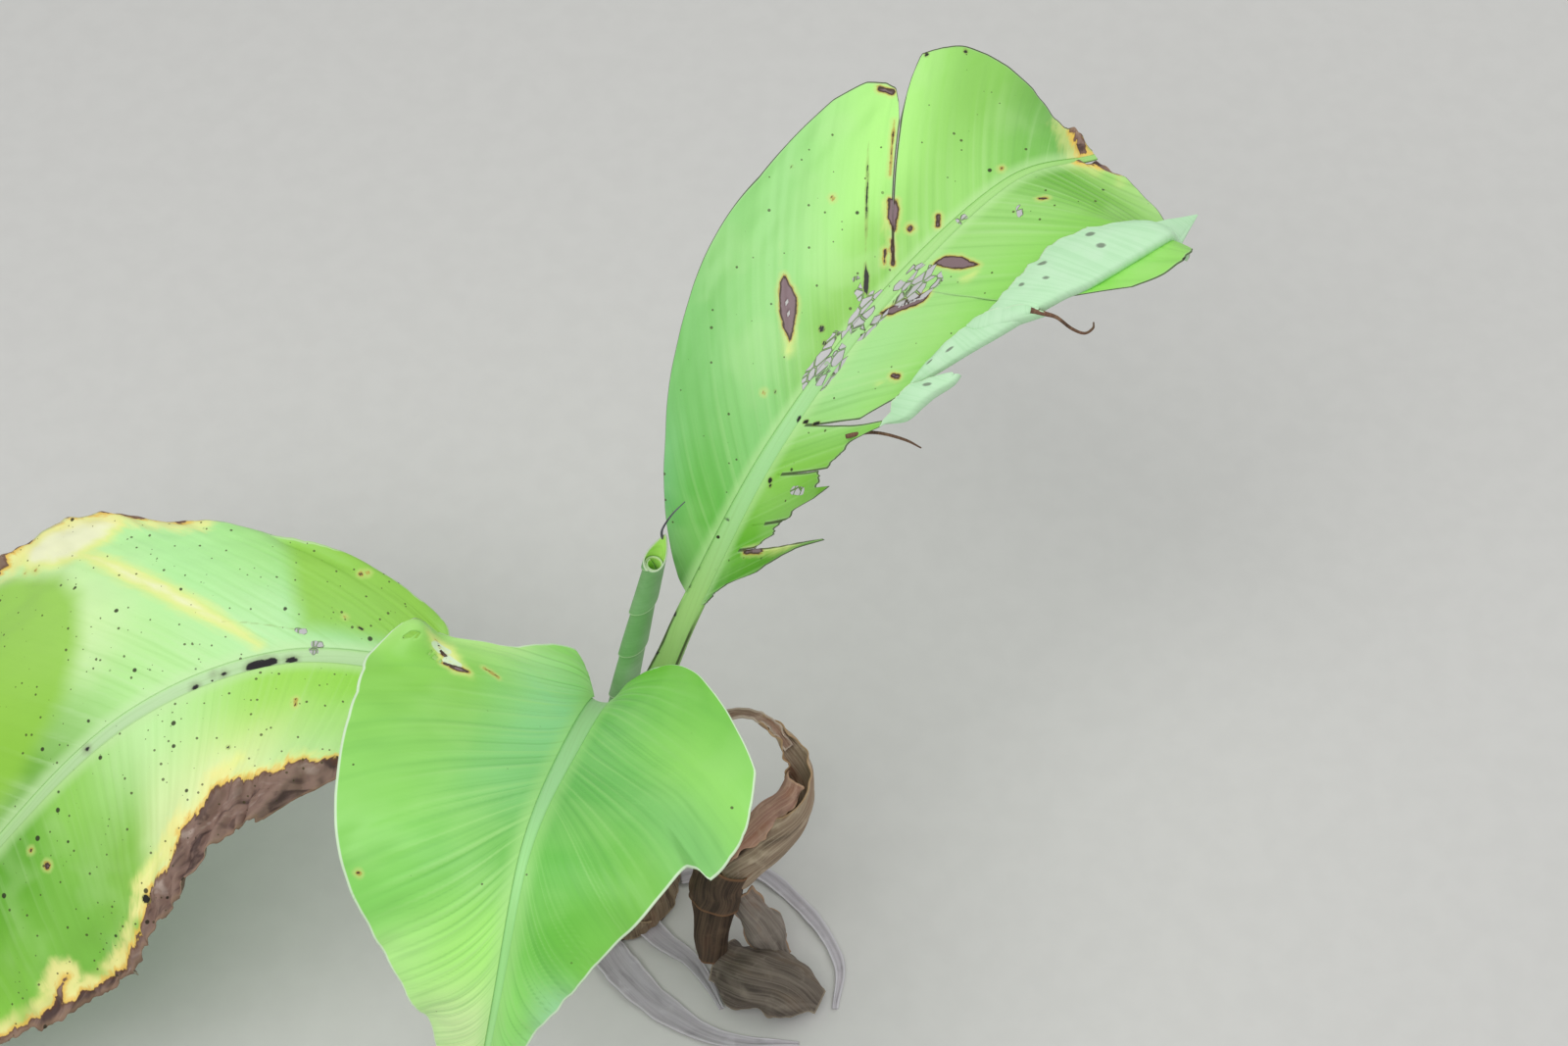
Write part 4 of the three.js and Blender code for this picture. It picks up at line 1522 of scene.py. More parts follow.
@dataclass
class Stem(Piece):
    """The short foot: a corm cut flat at the ground, and the core that the sheaths wrap.

    Its profile runs from the middle of the cut outwards, up the side and in to the core's top,
    as radius and height.
    """

    finish: DriedLeaf
    name: str = "stem_foot"
    slot: str = "leaf_sheath"
    nodes: tuple[str, ...] = ("stem",)
    thickness: float = 0.0
    profile: Pairs = (
        (0.0, 0.0), (19.0, 0.0), (37.0, 0.0), (38.0, 1.0), (35.0, 8.68), (33.0, 19.7),
        (30.5, 21.7), (16.0, 21.7), (7.5, 117.0), (4.5, 118.0), (0.0, 118.0),
    )

    def __post_init__(self) -> None:
        """Measures the way along the profile."""
        steps = np.linalg.norm(np.diff(np.array(self.profile), axis=0), axis=1)
        self.run = np.concatenate([[0], np.cumsum(steps)])

    def skin(self) -> Skin:
        """A grid round the stem and along its profile."""
        return Skin.of(np.linspace(0, 1, 161), np.linspace(0, self.run[-1], 150))

    def layout(self, flat: Array) -> Laid:
        """Turns the profile round the middle, rough and fibrous."""
        radius, height = (
            np.interp(flat[:, 1], self.run, side) for side in np.array(self.profile).T
        )
        turn = flat[:, 0] * 2 * np.pi
        ring = np.stack([np.cos(turn), np.sin(turn)], 1)
        plane = np.column_stack([ring * 24, height])
        rough = ripple(plane, 13, 61, 4) * smoothstep(0.5, 6, height) * smoothstep(4, 20, radius)
        fibres = np.sin(turn * 46 + 3 * ripple(plane, 30, 62)) * smoothstep(2, 10, height) * 0.35
        size = np.maximum(radius - 0.9 + 0.8 * rough + fibres * (radius > 5), 0)
        points = np.column_stack([ring * size[:, None], height])
        surface = np.stack([flat[:, 0] * 180, flat[:, 1]], 1)
        fields = {"fold": np.clip(rough, 0, 1), "rim": np.full(len(flat), NO_RIM)}
        return Laid(points, surface, fields)

    def materials(self) -> list[bpy.types.Material]:
        """Its fibrous skin."""
        return [self.finish.material()]


@dataclass(frozen=True)
class Studio:
    """A pale floor, soft light and the camera at the photograph's angle."""

    eye: tuple[float, float, float] = (0.096, -0.8151, 1.5154)
    look: tuple[float, float, float] = (0.0, 0.5736, -0.8192)
    lens: float = 70.0
    sensor: float = 36.0
    floor_colour: str = "#d9d7d2"
    floor_size: float = 3000.0

    def build(self) -> None:
        """Sets up the floor, the lights and the camera."""
        self.floor()
        self.light("key", (-0.6, -0.8, 2.2), 1.8, 26.0)
        self.light("fill", (1.3, 0.8, 1.9), 2.2, 12.0)
        self.sky()
        self.camera()
        bpy.context.scene.view_settings.view_transform = "Standard"

    def floor(self) -> None:
        """A plain pale floor, just under the plant's cut face."""
        graph = Graph("pale matt floor")
        body = graph.add("ShaderNodeTexCoord").outputs["Object"]
        graph.grains(body, METRE, grain=(METRE / 60, 3.0, 0.0))
        graph.masks(grain=("grain", 0.3, 0.7))
        colour = graph.coats(self.floor_colour, ("grain", 0.25, "#cfcdc8"))
        graph.feed(graph.shader, "Base Color", colour)
        graph.feed(graph.shader, "Roughness", 0.9)
        side = np.linspace(-self.floor_size, self.floor_size, 3)

        def layout(flat: Array) -> Laid:
            """Lays the floor level."""
            return Laid(flat * [1, 1, 0] + [0, 0, -0.05], flat[:, :2])

        floor = Skin.of(side, side).laid_out("floor", layout, skyward)
        floor.data.materials.append(graph.material)

    @staticmethod
    def light(name: str, place: tuple[float, float, float], size: float, power: float) -> None:
        """A large soft square light that looks at the plant."""
        lamp = bpy.data.lights.new(name, "AREA")
        lamp.shape = "SQUARE"
        lamp.size = size
        lamp.energy = power
        aimed(name, lamp, place, Vector((0, 0, 0.15)) - Vector(place))

    @staticmethod
    def sky() -> None:
        """An even pale sky."""
        world = bpy.data.worlds.new("soft sky")
        world.use_nodes = True
        shade = world.node_tree.nodes["Background"]
        shade.inputs[0].default_value = linear("#eef2f6")
        shade.inputs[1].default_value = 0.5
        bpy.context.scene.world = world

    def camera(self) -> None:
        """The camera at the photograph's place and angle."""
        view = bpy.data.cameras.new("camera")
        view.lens = self.lens
        view.sensor_width = self.sensor
        view.clip_start = 0.05
        view.clip_end = 50
        bpy.context.scene.camera = aimed("camera", view, self.eye, Vector(self.look))


def marked(mark: Mark, *rows: tuple[float, ...]) -> tuple[Spot, ...]:
    """Spots of one kind: for each by how much it outgrows its corners, then the corners."""
    return tuple(Spot(mark, tuple(zip(row[1::2], row[2::2])), row[0]) for row in rows)


# The tall leaf at the back, torn and scarred along its rib.
BACK_LIMB = Limb(path=((0, 0, 21), (1, 0, 80), (12, 8, 138), (32, 22, 186), (50, 37, 230), (91, 80, 302),
    (146, 135, 352), (206, 188, 376), (252, 209, 372)), radius=(20, 14.2, 10, 8, 6.6, 5, 4, 2.6, 1.8),
    wrap=(128, 110, 88, 85, 85, 90, 90, 90, 90), heading=43, dish=(1, 1, 0.95, 0.8, 0.5, 0.2, 0.15, 0.15,
    0.15))
BACK_LEFT = HalfBlade(
    name="left", side=-1, turn=-14, width=(0, 70, 124, 133, 108, 47, 20, 0), sweep=(55, 45, 45, 60, 85),
    rise=(40, 22, 14, 10, 4), bend=(-30, -26, -24, -24, -20),
    relief=Relief(ridge_pitch=6.5, ridge=0.2, wave=1, flutter=0.9, seed=2),
    # Its tones along the blade are partly its own green and partly painted light, shade and pale sheen.
    finish=LivingBlade(name="living back leaf blade left", inner=((0.05, "#247212"), (0.2, "#6ac046"),
        (0.33, "#94d97d"), (0.44, "#92d057"), (0.6, "#a7e578"), (0.72, "#81c756"), (0.86, "#4d9e39")),
        outer=((0.1, "#82c785"), (0.24, "#87cf72"), (0.36, "#a7e68c"), (0.5, "#beff8c"), (0.62, "#93d35e"),
        (0.76, "#589d35")), vein=0.16, specks=0.2, dark_rim=0.9, rim_share=0.25, halo=0.45),
    strips=(
        Strip(BLADE_START, 0.518, margin=((0.045, 0.6), (0.1, 0.72), (0.14, 0.8), (0.17, 0.88),
            (0.2, 0.94), (0.25, 1), (0.42, 1.01), (0.46, 0.97), (0.488, 0.91), (0.502, 0.86),
            (0.512, 0.78), (0.518, 0.68)), open_end=0.06, gape_end=0.9, lift_end=0.9),
        Strip(0.518, BLADE_END, margin=((0.518, 0.7), (0.521, 0.86), (0.53, 0.99), (0.56, 1), (0.69, 1),
            (0.74, 0.9), (0.8, 0.8), (0.86, 0.8), (0.97, 1)), open_start=0.06, gape_start=0.6,
            lift_start=-0.5),
    ),
    spots=(
        marked(Mark.HOLE, (0, 0.3785, 0.42, 0.3825, 0.37, 0.3845, 0.32, 0.3835, 0.26, 0.381, 0.31,
            0.379, 0.36))
        + marked(Mark.LESION, (0.4, 0.377, 0.48, 0.389, 0.38, 0.394, 0.32, 0.389, 0.26, 0.382, 0.22,
            0.376, 0.29, 0.372, 0.38, 0.372, 0.44), (0.3, 0.512, 0.35, 0.522, 0.32, 0.525, 0.26,
            0.52, 0.19, 0.512, 0.27), (0.7, 0.517, 0.16, 0.517, 0.06), (0.5, 0.508, 0.15, 0.506, 0.1), (0,
            0.509, 0.7, 0.512, 0.45), (0.7, 0.34, 0.17), (0.9, 0.438, 0.57), (1.6, 0.54, 0.14), (1,
            0.575, 0.08, 0.574, 0.04), (0.7, 0.664, 0.1), (1.4, 0.48, 0.9, 0.497, 0.85))
        + marked(Mark.GOLD, (-4, 0.372, 0.62, 0.376, 0.5), (0, 0.382, 0.24, 0.379, 0.19), (-2, 0.505, 0.36,
            0.51, 0.2), (-5, 0.474, 0.7, 0.482, 0.5, 0.483, 0.25))
        # The first two pits are painted shade: a dark slit and gap where a thin tear shows the shade under
        # the blade.
        + marked(Mark.PIT, (-0.5, 0.477, 0.7, 0.484, 0.52, 0.486, 0.35, 0.483, 0.2), (0.1, 0.482, 0.18,
            0.486, 0.12, 0.484, 0.04, 0.479, 0.08), (1.6, 0.424, 0.12), (1.2, 0.426, 0.06), (0.8,
            0.356, 0.12), (0.7, 0.378, 0.88), (1.4, 0.538, 0.98), (1.2, 0.592, 0.97))
        + marked(Mark.SCAR, (2, 0.47, 0.15, 0.474, 0.07), (1, 0.395, 0, 0.395, 0.035, 0.44, 0.05,
            0.455, 0), (1.5, 0.46, 0, 0.463, 0.025, 0.49, 0.03, 0.5, 0))
        + marked(Mark.DECAY, (-2.6, 0.775, 0.84, 0.807, 0.58, 0.828, 0.32, 0.842, 0.1, 0.85, -0.1, 1, -0.1,
            1, 1.3, 0.8, 1.3))
    ),
)
BACK_RIGHT = HalfBlade(
    name="right", side=1, turn=-14, width=(0, 84, 54, 56, 112, 85, 43, 0), sweep=(50, 55, 70, 75, 55),
    rise=(40, 24, 18, 12, 4), bend=(-20, -14, -12, -12, -20),
    relief=Relief(ridge_pitch=7, ridge=0.3, wave=0.8, flutter=0.8, seed=3),
    # Its tones along the blade are partly its own green and partly painted light, shade and pale sheen.
    finish=LivingBlade(name="living back leaf blade right", inner=((0.08, "#489e1e"), (0.2, "#6cbb2c"),
        (0.3, "#91d450"), (0.42, "#b6ee9b"), (0.6, "#abe580"), (0.75, "#79bd47"), (0.88, "#a8de72")),
        outer=((0.15, "#548f21"), (0.27, "#69a826"), (0.4, "#9be064"), (0.55, "#9ce466"),
        (0.78, "#87c750"), (0.9, "#d1ffa8")), vein=0.24, specks=0.2, dark_rim=0.8, rim_share=0.2,
        halo=0.45),
    slant=(0.35, 0.35), slant_fade=3,
    strips=(
        Strip(BLADE_START, 0.205, margin=((0.045, 0.15), (0.106, 0.12), (0.13, 0.2), (0.151, 0.42),
            (0.179, 0.58), (0.195, 0.72), (0.2, 1), (0.205, 0.8)), open_end=0.12, gape_end=2.4,
            lift_end=-2.4, ragged=0.8),
        Strip(0.205, 0.243, margin=((0.205, 0.3), (0.215, 0.36), (0.225, 0.46), (0.234, 0.44),
            (0.243, 0.5)), open_start=0.12, gape_start=2, open_end=0.3, gape_end=1, lift_end=-1,
            ragged=2.2, ragged_size=9),
        Strip(0.243, 0.307, margin=((0.243, 0.52), (0.255, 0.62), (0.265, 0.8), (0.276, 1), (0.281, 0.84),
            (0.29, 0.78), (0.307, 0.72)), open_start=0.3, gape_start=0.8, open_end=0.2, gape_end=1.4,
            lift_end=2, ragged=1.8, ragged_size=9),
        Strip(0.307, 0.365, margin=((0.307, 0.75), (0.33, 0.82), (0.345, 0.84), (0.356, 1.1),
            (0.365, 1.08)), open_start=0.2, open_end=0.1, gape_start=1, gape_end=1.6, lift_start=-1,
            ragged=1.2, ragged_size=11),
        Strip(0.365, 0.517, margin=((0.365, 0.75), (0.39, 0.95), (0.44, 0.96), (0.51, 0.89),
            (0.517, 0.88)), open_start=0.1, open_end=0.16, gape_start=2, lift_start=1.5, gape_end=0.1,
            lift_end=-0.5),
        Strip(0.517, BLADE_END, margin=((0.517, 0.88), (0.53, 0.87), (0.55, 1.02), (0.59, 1.02),
            (0.63, 1.02), (0.7, 1.1), (0.76, 1.2), (0.8, 1.27), (0.825, 1.2), (0.857, 1.09), (0.882, 0.96),
            (0.91, 0.85), (0.97, 0.7)), open_start=0.16, gape_start=0.1, lift_start=0.5),
    ),
    spots=(
        marked(Mark.LESION, (0.2, 0.546, 0.05, 0.556, 0.07, 0.559, 0.13, 0.554, 0.26, 0.546, 0.2,
            0.545, 0.12), (0.4, 0.486, 0.01, 0.504, 0.1, 0.516, 0.18, 0.505, 0.2, 0.486, 0.08), (1.1,
            0.418, 0.73, 0.42, 0.66), (0.6, 0.664, 0.2, 0.672, 0.23), (1, 0.2, 0.2, 0.203, 0.36,
            0.198, 0.38))
        + marked(Mark.GOLD, (-1, 0.535, 0.27, 0.545, 0.28), (-3, 0.414, 0.7, 0.41, 0.6), (0.5, 0.2, 0.42,
            0.206, 0.56, 0.203, 0.7))
        + marked(Mark.HOLE, (0, 0.49, 0.04, 0.503, 0.1, 0.511, 0.17, 0.506, 0.17, 0.494, 0.09))
        + marked(Mark.SCAR, (1, 0.498, 0, 0.54, 0, 0.545, 0.08, 0.53, 0.17, 0.51, 0.17, 0.498, 0.09), (1,
            0.456, 0, 0.46, 0.03, 0.485, 0.05, 0.498, 0), (0.6, 0.402, 0, 0.408, 0.03, 0.43, 0.03,
            0.446, 0), (1.6, 0.638, 0.16, 0.628, 0.2), (2.2, 0.284, 0.5, 0.281, 0.62))
        + marked(Mark.PIT, (1, 0.368, 0.07, 0.369, 0.1), (0.9, 0.366, 0.22, 0.367, 0.27), (1.5, 0.3, 0.1),
            (1, 0.294, 0.14))
        + marked(Mark.DECAY, (1.6, 0.845, -0.1, 0.86, 0.04, 0.895, 0.12, 0.92, 0.32, 0.93, 0.5,
            0.925, 0.74, 0.94, 1, 1, 1, 1, -0.1))
    ),
)
BACK_LEAF = GreenLeaf(
    name="back_leaf", limb=BACK_LIMB, blade_index=4, halves=(BACK_LEFT, BACK_RIGHT),
    under=BladeUnderside(name="waxy back leaf underside", body="#c6f0c2", vein="#a8dca4"),
    stalk=StalkSkin(name="living back leaf stalk", lip="#a0d878", lip_share=0.3, line=0.85, specks=0.3,
        bruise=0, channel=((0.3, "#a6d274"), (0.48, "#b2de86"), (0.62, "#b0e59e"), (0.8, "#b6e790"),
        (1, "#a8dc7c"))),
    slot="back_blade", row_pitch=0.95, columns=64,
    rib_spots=(
        marked(Mark.SCAR, (5.5, 0.412, -0.3), (6, 0.435, -0.2), (7, 0.468, 0.1), (7, 0.486, 0.2), (6,
            0.51, 0.6), (5, 0.535, 0.6), (3, 0.6, 0))
        + marked(Mark.PIT, (1.6, 0.37, 0.6))
    ),
    stalk_spots=marked(Mark.PIT, (1.7, 0.487, -0.25), (1.5, 0.473, -0.9), (1.1, 0.506, -0.08), (1,
        0.509, -0.85), (1, 0.414, -0.65), (1.2, 0.436, 0.39), (1.3, 0.394, -0.9), (0.9, 0.526, -0.73), (1,
        0.533, 0.44), (0.8, 0.543, -0.9), (1.1, 0.568, -0.54)),
)

# The wide leaf in front, which bends towards the camera.
FRONT_LIMB = Limb(path=((0, 0, 21), (0, -3, 80), (2, -13, 145), (6, -12, 215), (-8, -80, 270),
    (-21, -146, 300), (-34, -198, 260), (-47, -222, 196)), radius=(24.1, 18.4, 10, 6.5, 5, 3, 2.2, 1.6),
    wrap=(124, 106, 88, 85, 90, 90, 90, 90), heading=-90, dish=(1, 1, 0.9, 0.4, 0.2, 0.15, 0.15, 0.15))
FRONT_LEFT = HalfBlade(
    name="left", side=1, turn=-18, width=(30, 44, 102, 95, 65, 40, 20, 0), sweep=(80, 80, 80, 65, 45),
    rise=(75, 45, 20, 0, -10), bend=(-20, -34, -40, -34, -20),
    relief=Relief(ridge_pitch=5, ridge=0.2, wave=1.2, flutter=0.6, seed=4),
    # Its tones along the blade are partly its own green and partly painted light and shade, brightest
    # towards the tip.
    finish=LivingBlade(name="living front leaf blade left", inner=((0.1, "#b9ff8f"), (0.25, "#a4e9a4"),
        (0.4, "#93dc84"), (0.5, "#7dc95d"), (0.6, "#b6fc7f"), (0.72, "#deffaf")), outer=((0.08, "#b1ff66"),
        (0.18, "#d6ffa4"), (0.28, "#92d558"), (0.42, "#94da67"), (0.54, "#90e068"), (0.6, "#c3ff95"),
        (0.75, "#ceffa3")), crest="#b4ea8e", trough="#64b050", vein=0.33, specks=0.006, rim="#e2f5d4"),
    slant=(3, 3, 1.6, 1.5, 1.9, 2.2, 2.4, 2.4), slant_fade=0.29, lobe=8,
    strips=(
        Strip(BLADE_START, BLADE_END, margin=((0.045, 0.84), (0.086, 0.88), (0.124, 0.89), (0.16, 0.83),
            (0.19, 0.75), (0.206, 0.78), (0.216, 0.9), (0.224, 1.15), (0.233, 1.26), (0.245, 1.22),
            (0.256, 1.17), (0.29, 1.04), (0.322, 0.98), (0.354, 0.97), (0.45, 0.99), (0.52, 1.02),
            (0.57, 1.01), (0.62, 0.98), (0.655, 0.96), (0.68, 0.97), (0.703, 1), (0.74, 1.08), (0.78, 1.2),
            (0.83, 1.3), (0.9, 1.25), (0.97, 1))),
    ),
    swellings=(Swelling((0.236, 1.13), 11, 13), Swelling((0.27, 1), 18, -4)),
    spots=(
        marked(Mark.GOLD, (-1, 0.244, 0.98, 0.236, 0.95, 0.244, 0.81, 0.262, 0.68, 0.274, 0.58,
            0.276, 0.66, 0.264, 0.77), (-4, 0.258, 0.57, 0.262, 0.47))
        + marked(Mark.HOLE, (0, 0.247, 0.9, 0.253, 0.89, 0.256, 0.83, 0.251, 0.8), (0, 0.258, 0.77,
            0.265, 0.75, 0.272, 0.65, 0.265, 0.67))
        + marked(Mark.LESION, (0.7, 0.244, 0.93, 0.25, 0.87), (0.9, 0.256, 0.82, 0.259, 0.77), (0.7,
            0.268, 0.75, 0.274, 0.65, 0.272, 0.6), (0.3, 0.257, 0.57, 0.259, 0.52, 0.262, 0.47), (0.8,
            0.506, 0.93))
    ),
)
FRONT_RIGHT = HalfBlade(
    name="right", side=-1, turn=-18, width=(0, 85, 115, 80, 45, 20, 8, 0), sweep=(55, 65, 75, 65, 50),
    rise=(65, 30, 10, 0, -5), bend=(-30, -46, -52, -44, -20),
    relief=Relief(ridge_pitch=5, ridge=0.2, wave=1.2, flutter=0.8, seed=5),
    # Its tones along the blade are partly its own green and partly painted light and shade; the near-white
    # outer tones towards the tip are a painted highlight.
    finish=LivingBlade(name="living front leaf blade right", inner=((0.08, "#7dd043"), (0.3, "#7acb66"),
        (0.45, "#6ec155"), (0.56, "#6fc645"), (0.68, "#9ceb75"), (0.8, "#b1f994")),
        outer=((0.08, "#7eca42"), (0.2, "#8ad45d"), (0.28, "#9ae06b"), (0.38, "#87ce6f"),
        (0.46, "#80c952"), (0.58, "#93e160"), (0.66, "#d1fff8"), (0.75, "#faffff")), crest="#a8e284",
        trough="#5ca848", vein=0.3, specks=0.006, rim="#e2f5d4"),
    slant=(0.2, 0.4, 0.9, 1.3, 3, 3.2, 3.2, 3.2), slant_fade=0.32,
    strips=(
        Strip(BLADE_START, BLADE_END, margin=((0.045, 1), (0.118, 0.92), (0.17, 0.95), (0.204, 0.99),
            (0.226, 1.01), (0.24, 0.985), (0.27, 0.945), (0.3, 0.93), (0.336, 0.95), (0.37, 0.99),
            (0.381, 1), (0.385, 0.92), (0.398, 0.9), (0.42, 0.91), (0.47, 0.94), (0.56, 0.98),
            (0.62, 0.97), (0.69, 0.92), (0.97, 1))),
    ),
    fold_line=((0, 2), (0.18, 1), (0.239, 0.82), (0.275, 0.68), (0.331, 0.58), (0.385, 0.62), (0.41, 0.9),
        (0.43, 1.4), (1, 2)),
    fold_drop=8, fold_width=0.35,
)
FRONT_LEAF = GreenLeaf(
    name="front_leaf", limb=FRONT_LIMB, blade_index=3, halves=(FRONT_LEFT, FRONT_RIGHT),
    under=BladeUnderside(name="waxy front leaf underside"),
    stalk=StalkSkin(name="living front leaf stalk", lip="#96d280", lip_share=0.35, specks=0,
        channel=((0.35, "#9ccc7c"), (0.45, "#a4da92"), (0.62, "#a8e09a"), (0.8, "#a6e68e"),
        (1, "#b8f0a0"))),
    slot="front_blade", row_pitch=0.95, columns=92,
)

# The long leaf to the left, which arches down and dies back from its margins.
LEFT_LIMB = Limb(path=((0, 0, 21), (0, 0, 70), (-8, 4, 115), (-38, 18, 148), (-81, 33, 165),
    (-160, 26, 194), (-240, -6, 184), (-315, -57, 132), (-384, -109, 58)), radius=(28.3, 23.8, 14, 8, 6.5,
    5, 4.6, 3.2, 2), wrap=(120, 102, 85, 82, 85, 90, 90, 90, 90), heading=170, dish=(1, 1, 0.95, 0.7, 0.4,
    0.2, 0.15, 0.15, 0.15))
LEFT_FAR = HalfBlade(
    name="far", side=1, turn=-14, width=(0, 42, 76, 136, 132, 115, 75, 0), sweep=(100, 80, 85, 100, 105),
    rise=(25, 18, 12, 8, 0), bend=(-30, -32, -34, -32, -20),
    relief=Relief(ridge_pitch=6, ridge=0.24, wave=1.6, flutter=1.4, seed=6),
    # Its tones along the blade are partly its own green and partly painted light, shade and sheen, and
    # deep is the colour of its painted shade patches.
    finish=LivingBlade(name="living left leaf blade far", inner=((0.12, "#91c769"), (0.26, "#b8f2b0"),
        (0.34, "#c9fab3"), (0.46, "#c4f89f"), (0.6, "#78b63e")), outer=((0.1, "#5fa037"),
        (0.28, "#aae786"), (0.38, "#c0f9a7"), (0.5, "#e0ffb5"), (0.62, "#c2f85f")), crest="#d4f6b6",
        trough="#8cc85c", vein=0.18, specks=0.6, deep="#9ad446", halo=0.8, rim_share=0.5),
    slant=(1.4, 1.4, 1.3, 0.7, 0.55, 0.5, 0.5, 0.5), slant_fade=3,
    strips=(
        Strip(BLADE_START, BLADE_END, margin=((0.045, 1.1), (0.1, 0.95), (0.139, 0.84), (0.179, 0.88),
            (0.219, 0.96), (0.3, 0.96), (0.36, 0.955), (0.432, 1), (0.97, 1)), ragged=0.5, ragged_size=30),
    ),
    spots=(
        marked(Mark.DECAY, (1.2, 0.334, 0.99, 0.348, 0.965, 0.368, 0.955, 0.388, 0.965, 0.404, 0.985),
            (-0.4, 0.41, 0.985, 0.43, 1.01, 0.45, 1.02), (0, 0.455, 1.1, 0.462, 1, 0.475, 0.975,
            0.5, 0.965, 0.56, 0.98, 0.6, 1.2))
        + marked(Mark.GOLD, (3, 0.475, 0.95, 0.436, 0.99, 0.4, 0.93, 0.4, 0.87, 0.42, 0.78, 0.445, 0.76,
            0.465, 0.8, 0.48, 0.87), (0.4, 0.448, 0.8, 0.43, 0.52, 0.404, 0.3, 0.38, 0.17, 0.356, 0.05),
            (-4.5, 0.272, 0.4, 0.262, 0.33, 0.256, 0.27))
        + marked(Mark.LESION, (0.8, 0.482, 0.82), (0.5, 0.49, 0.86), (0.9, 0.22, 0.77), (0.6, 0.212, 0.8),
            (0.4, 0.256, 0.27))
        # Two patches of painted shade, darker green where the blade lies unlit and without sheen.
        + marked(Mark.DEEP, (0, 0.52, 0.95, 0.497, 0.86, 0.47, 0.7, 0.47, 0.55, 0.49, 0.38, 0.53, 0.2,
            0.6, 0.1, 0.9, 0.1, 0.9, 0.9, 0.6, 0.95), (0, 0.278, 1.1, 0.29, 0.7, 0.3, 0.4, 0.308, 0.14,
            0.25, 0.1, 0.1, 0.1, 0, 0.3, 0, 1.2))
        + marked(Mark.PIT, (-0.45, 0.38, 0.2, 0.35, 0.17, 0.312, 0.12), (0.7, 0.242, 0.2, 0.238, 0.19))
        + marked(Mark.SCAR, (1.6, 0.312, 0.12, 0.305, 0.11), (2.2, 0.298, 0.02, 0.292, 0.02))
    ),
)
LEFT_NEAR = HalfBlade(
    name="near", side=-1, turn=-14, width=(0, 80, 120, 120, 115, 80, 50, 0), sweep=(85, 70, 70, 80, 90),
    rise=(18, 6, 0, 0, 0), bend=(-30, -38, -40, -36, -20),
    relief=Relief(ridge_pitch=6, ridge=0.17, wave=2, flutter=1.6, seed=8),
    # Its tones along the blade are partly its own green and partly painted light and shade, darker past
    # the middle where the blade turns down.
    finish=LivingBlade(name="living left leaf blade near", inner=((0.1, "#80d758"), (0.22, "#a0e551"),
        (0.34, "#ade862"), (0.48, "#cefba9"), (0.57, "#9cda61"), (0.64, "#64ae28")),
        outer=((0.1, "#a6ea60"), (0.24, "#c8f1a0"), (0.38, "#f2fcb4"), (0.46, "#e2f6ac"),
        (0.51, "#92cc54"), (0.6, "#84c64a"), (0.8, "#94d649")), crest="#ccf0a8", trough="#86c254",
        vein=0.12, specks=0.85, halo=1, rim_share=0.4),
    strips=(
        Strip(BLADE_START, BLADE_END, margin=((0.045, 0.6), (0.12, 0.66), (0.199, 0.74), (0.227, 0.82),
            (0.263, 0.86), (0.307, 0.78), (0.339, 0.78), (0.375, 0.84), (0.4, 0.95), (0.476, 0.93),
            (0.544, 0.95), (0.62, 0.94), (0.67, 0.99), (0.73, 0.98), (0.97, 1)), ragged=1.6,
            ragged_size=34),
    ),
    spots=(
        marked(Mark.DECAY, (0, 0.16, 0.66, 0.226, 0.575, 0.264, 0.54, 0.286, 0.575, 0.344, 0.53,
            0.38, 0.51, 0.4, 0.57, 0.43, 0.63, 0.442, 0.74, 0.484, 0.77, 0.496, 0.86, 0.532, 0.87,
            0.568, 0.89, 0.618, 0.89, 0.654, 0.91, 0.69, 0.92, 0.746, 0.94, 0.9, 0.96, 0.9, 1.3,
            0.16, 1.2), (1.2, 0.637, 0.78, 0.65, 0.84, 0.661, 0.94))
        + marked(Mark.GOLD, (-1, 0.226, 0.54, 0.264, 0.5, 0.29, 0.54, 0.35, 0.5, 0.385, 0.48, 0.41, 0.55),
            (1, 0.36, 0.42, 0.384, 0.47), (2, 0.44, 0.62, 0.5, 0.7), (0.5, 0.63, 0.74, 0.65, 0.82,
            0.68, 0.86))
        + marked(Mark.LESION, (1.8, 0.61, 0.27), (0.8, 0.62, 0.15), (0.4, 0.304, 0.23, 0.306, 0.2))
        + marked(Mark.PIT, (2.2, 0.49, 0.77), (0.9, 0.38, 0.35))
    ),
)
LEFT_LEAF = GreenLeaf(
    name="left_leaf", limb=LEFT_LIMB, blade_index=4, halves=(LEFT_FAR, LEFT_NEAR),
    under=BladeUnderside(name="waxy left leaf underside"),
    stalk=StalkSkin(name="living left leaf stalk", lip="#bce89a", lip_share=0.4, specks=0.2,
        channel=((0.4, "#b0d890"), (0.55, "#c6e8ae"), (0.72, "#c8e8b2"), (0.9, "#b4dc94"))),
    slot="left_blade", row_pitch=1.1, columns=64,
    rib_spots=(
        marked(Mark.PIT, (2.6, 0.372, -0.3, 0.348, -0.25), (2, 0.352, -0.1), (1.6, 0.33, -0.4,
            0.322, -0.4), (1.2, 0.4, -0.2), (0.8, 0.41, 0.2), (2, 0.43, -0.5), (1.4, 0.54, 0.2))
        + marked(Mark.SCAR, (2.4, 0.3, 0.6))
    ),
)

# The leaf that is still rolled, in the middle of the plant.
ROLLED_PATH = ((2, 2, 119), (9, 4, 165), (21, 2, 240), (34.5, -3, 322))
ROLLED_LEAF = RolledLeaf(
    limb=Limb(ROLLED_PATH, (5.4, 6.4, 6.2, 5.3), (168, 168), 20),
    finish=BladeUnderside(name="waxy rolled leaf", body="#83ae77", vein="#6f9f64", wax=0.1),
    inner=LivingBlade(name="living rolled leaf inside", inner=((0, "#b8f266"), (1, "#c6fb78")),
        outer=((0, "#bcf46c"), (1, "#ccfc82")), crest="#d2f08a", trough="#8fc44a", rim="#dcefb0",
        specks=0),
)

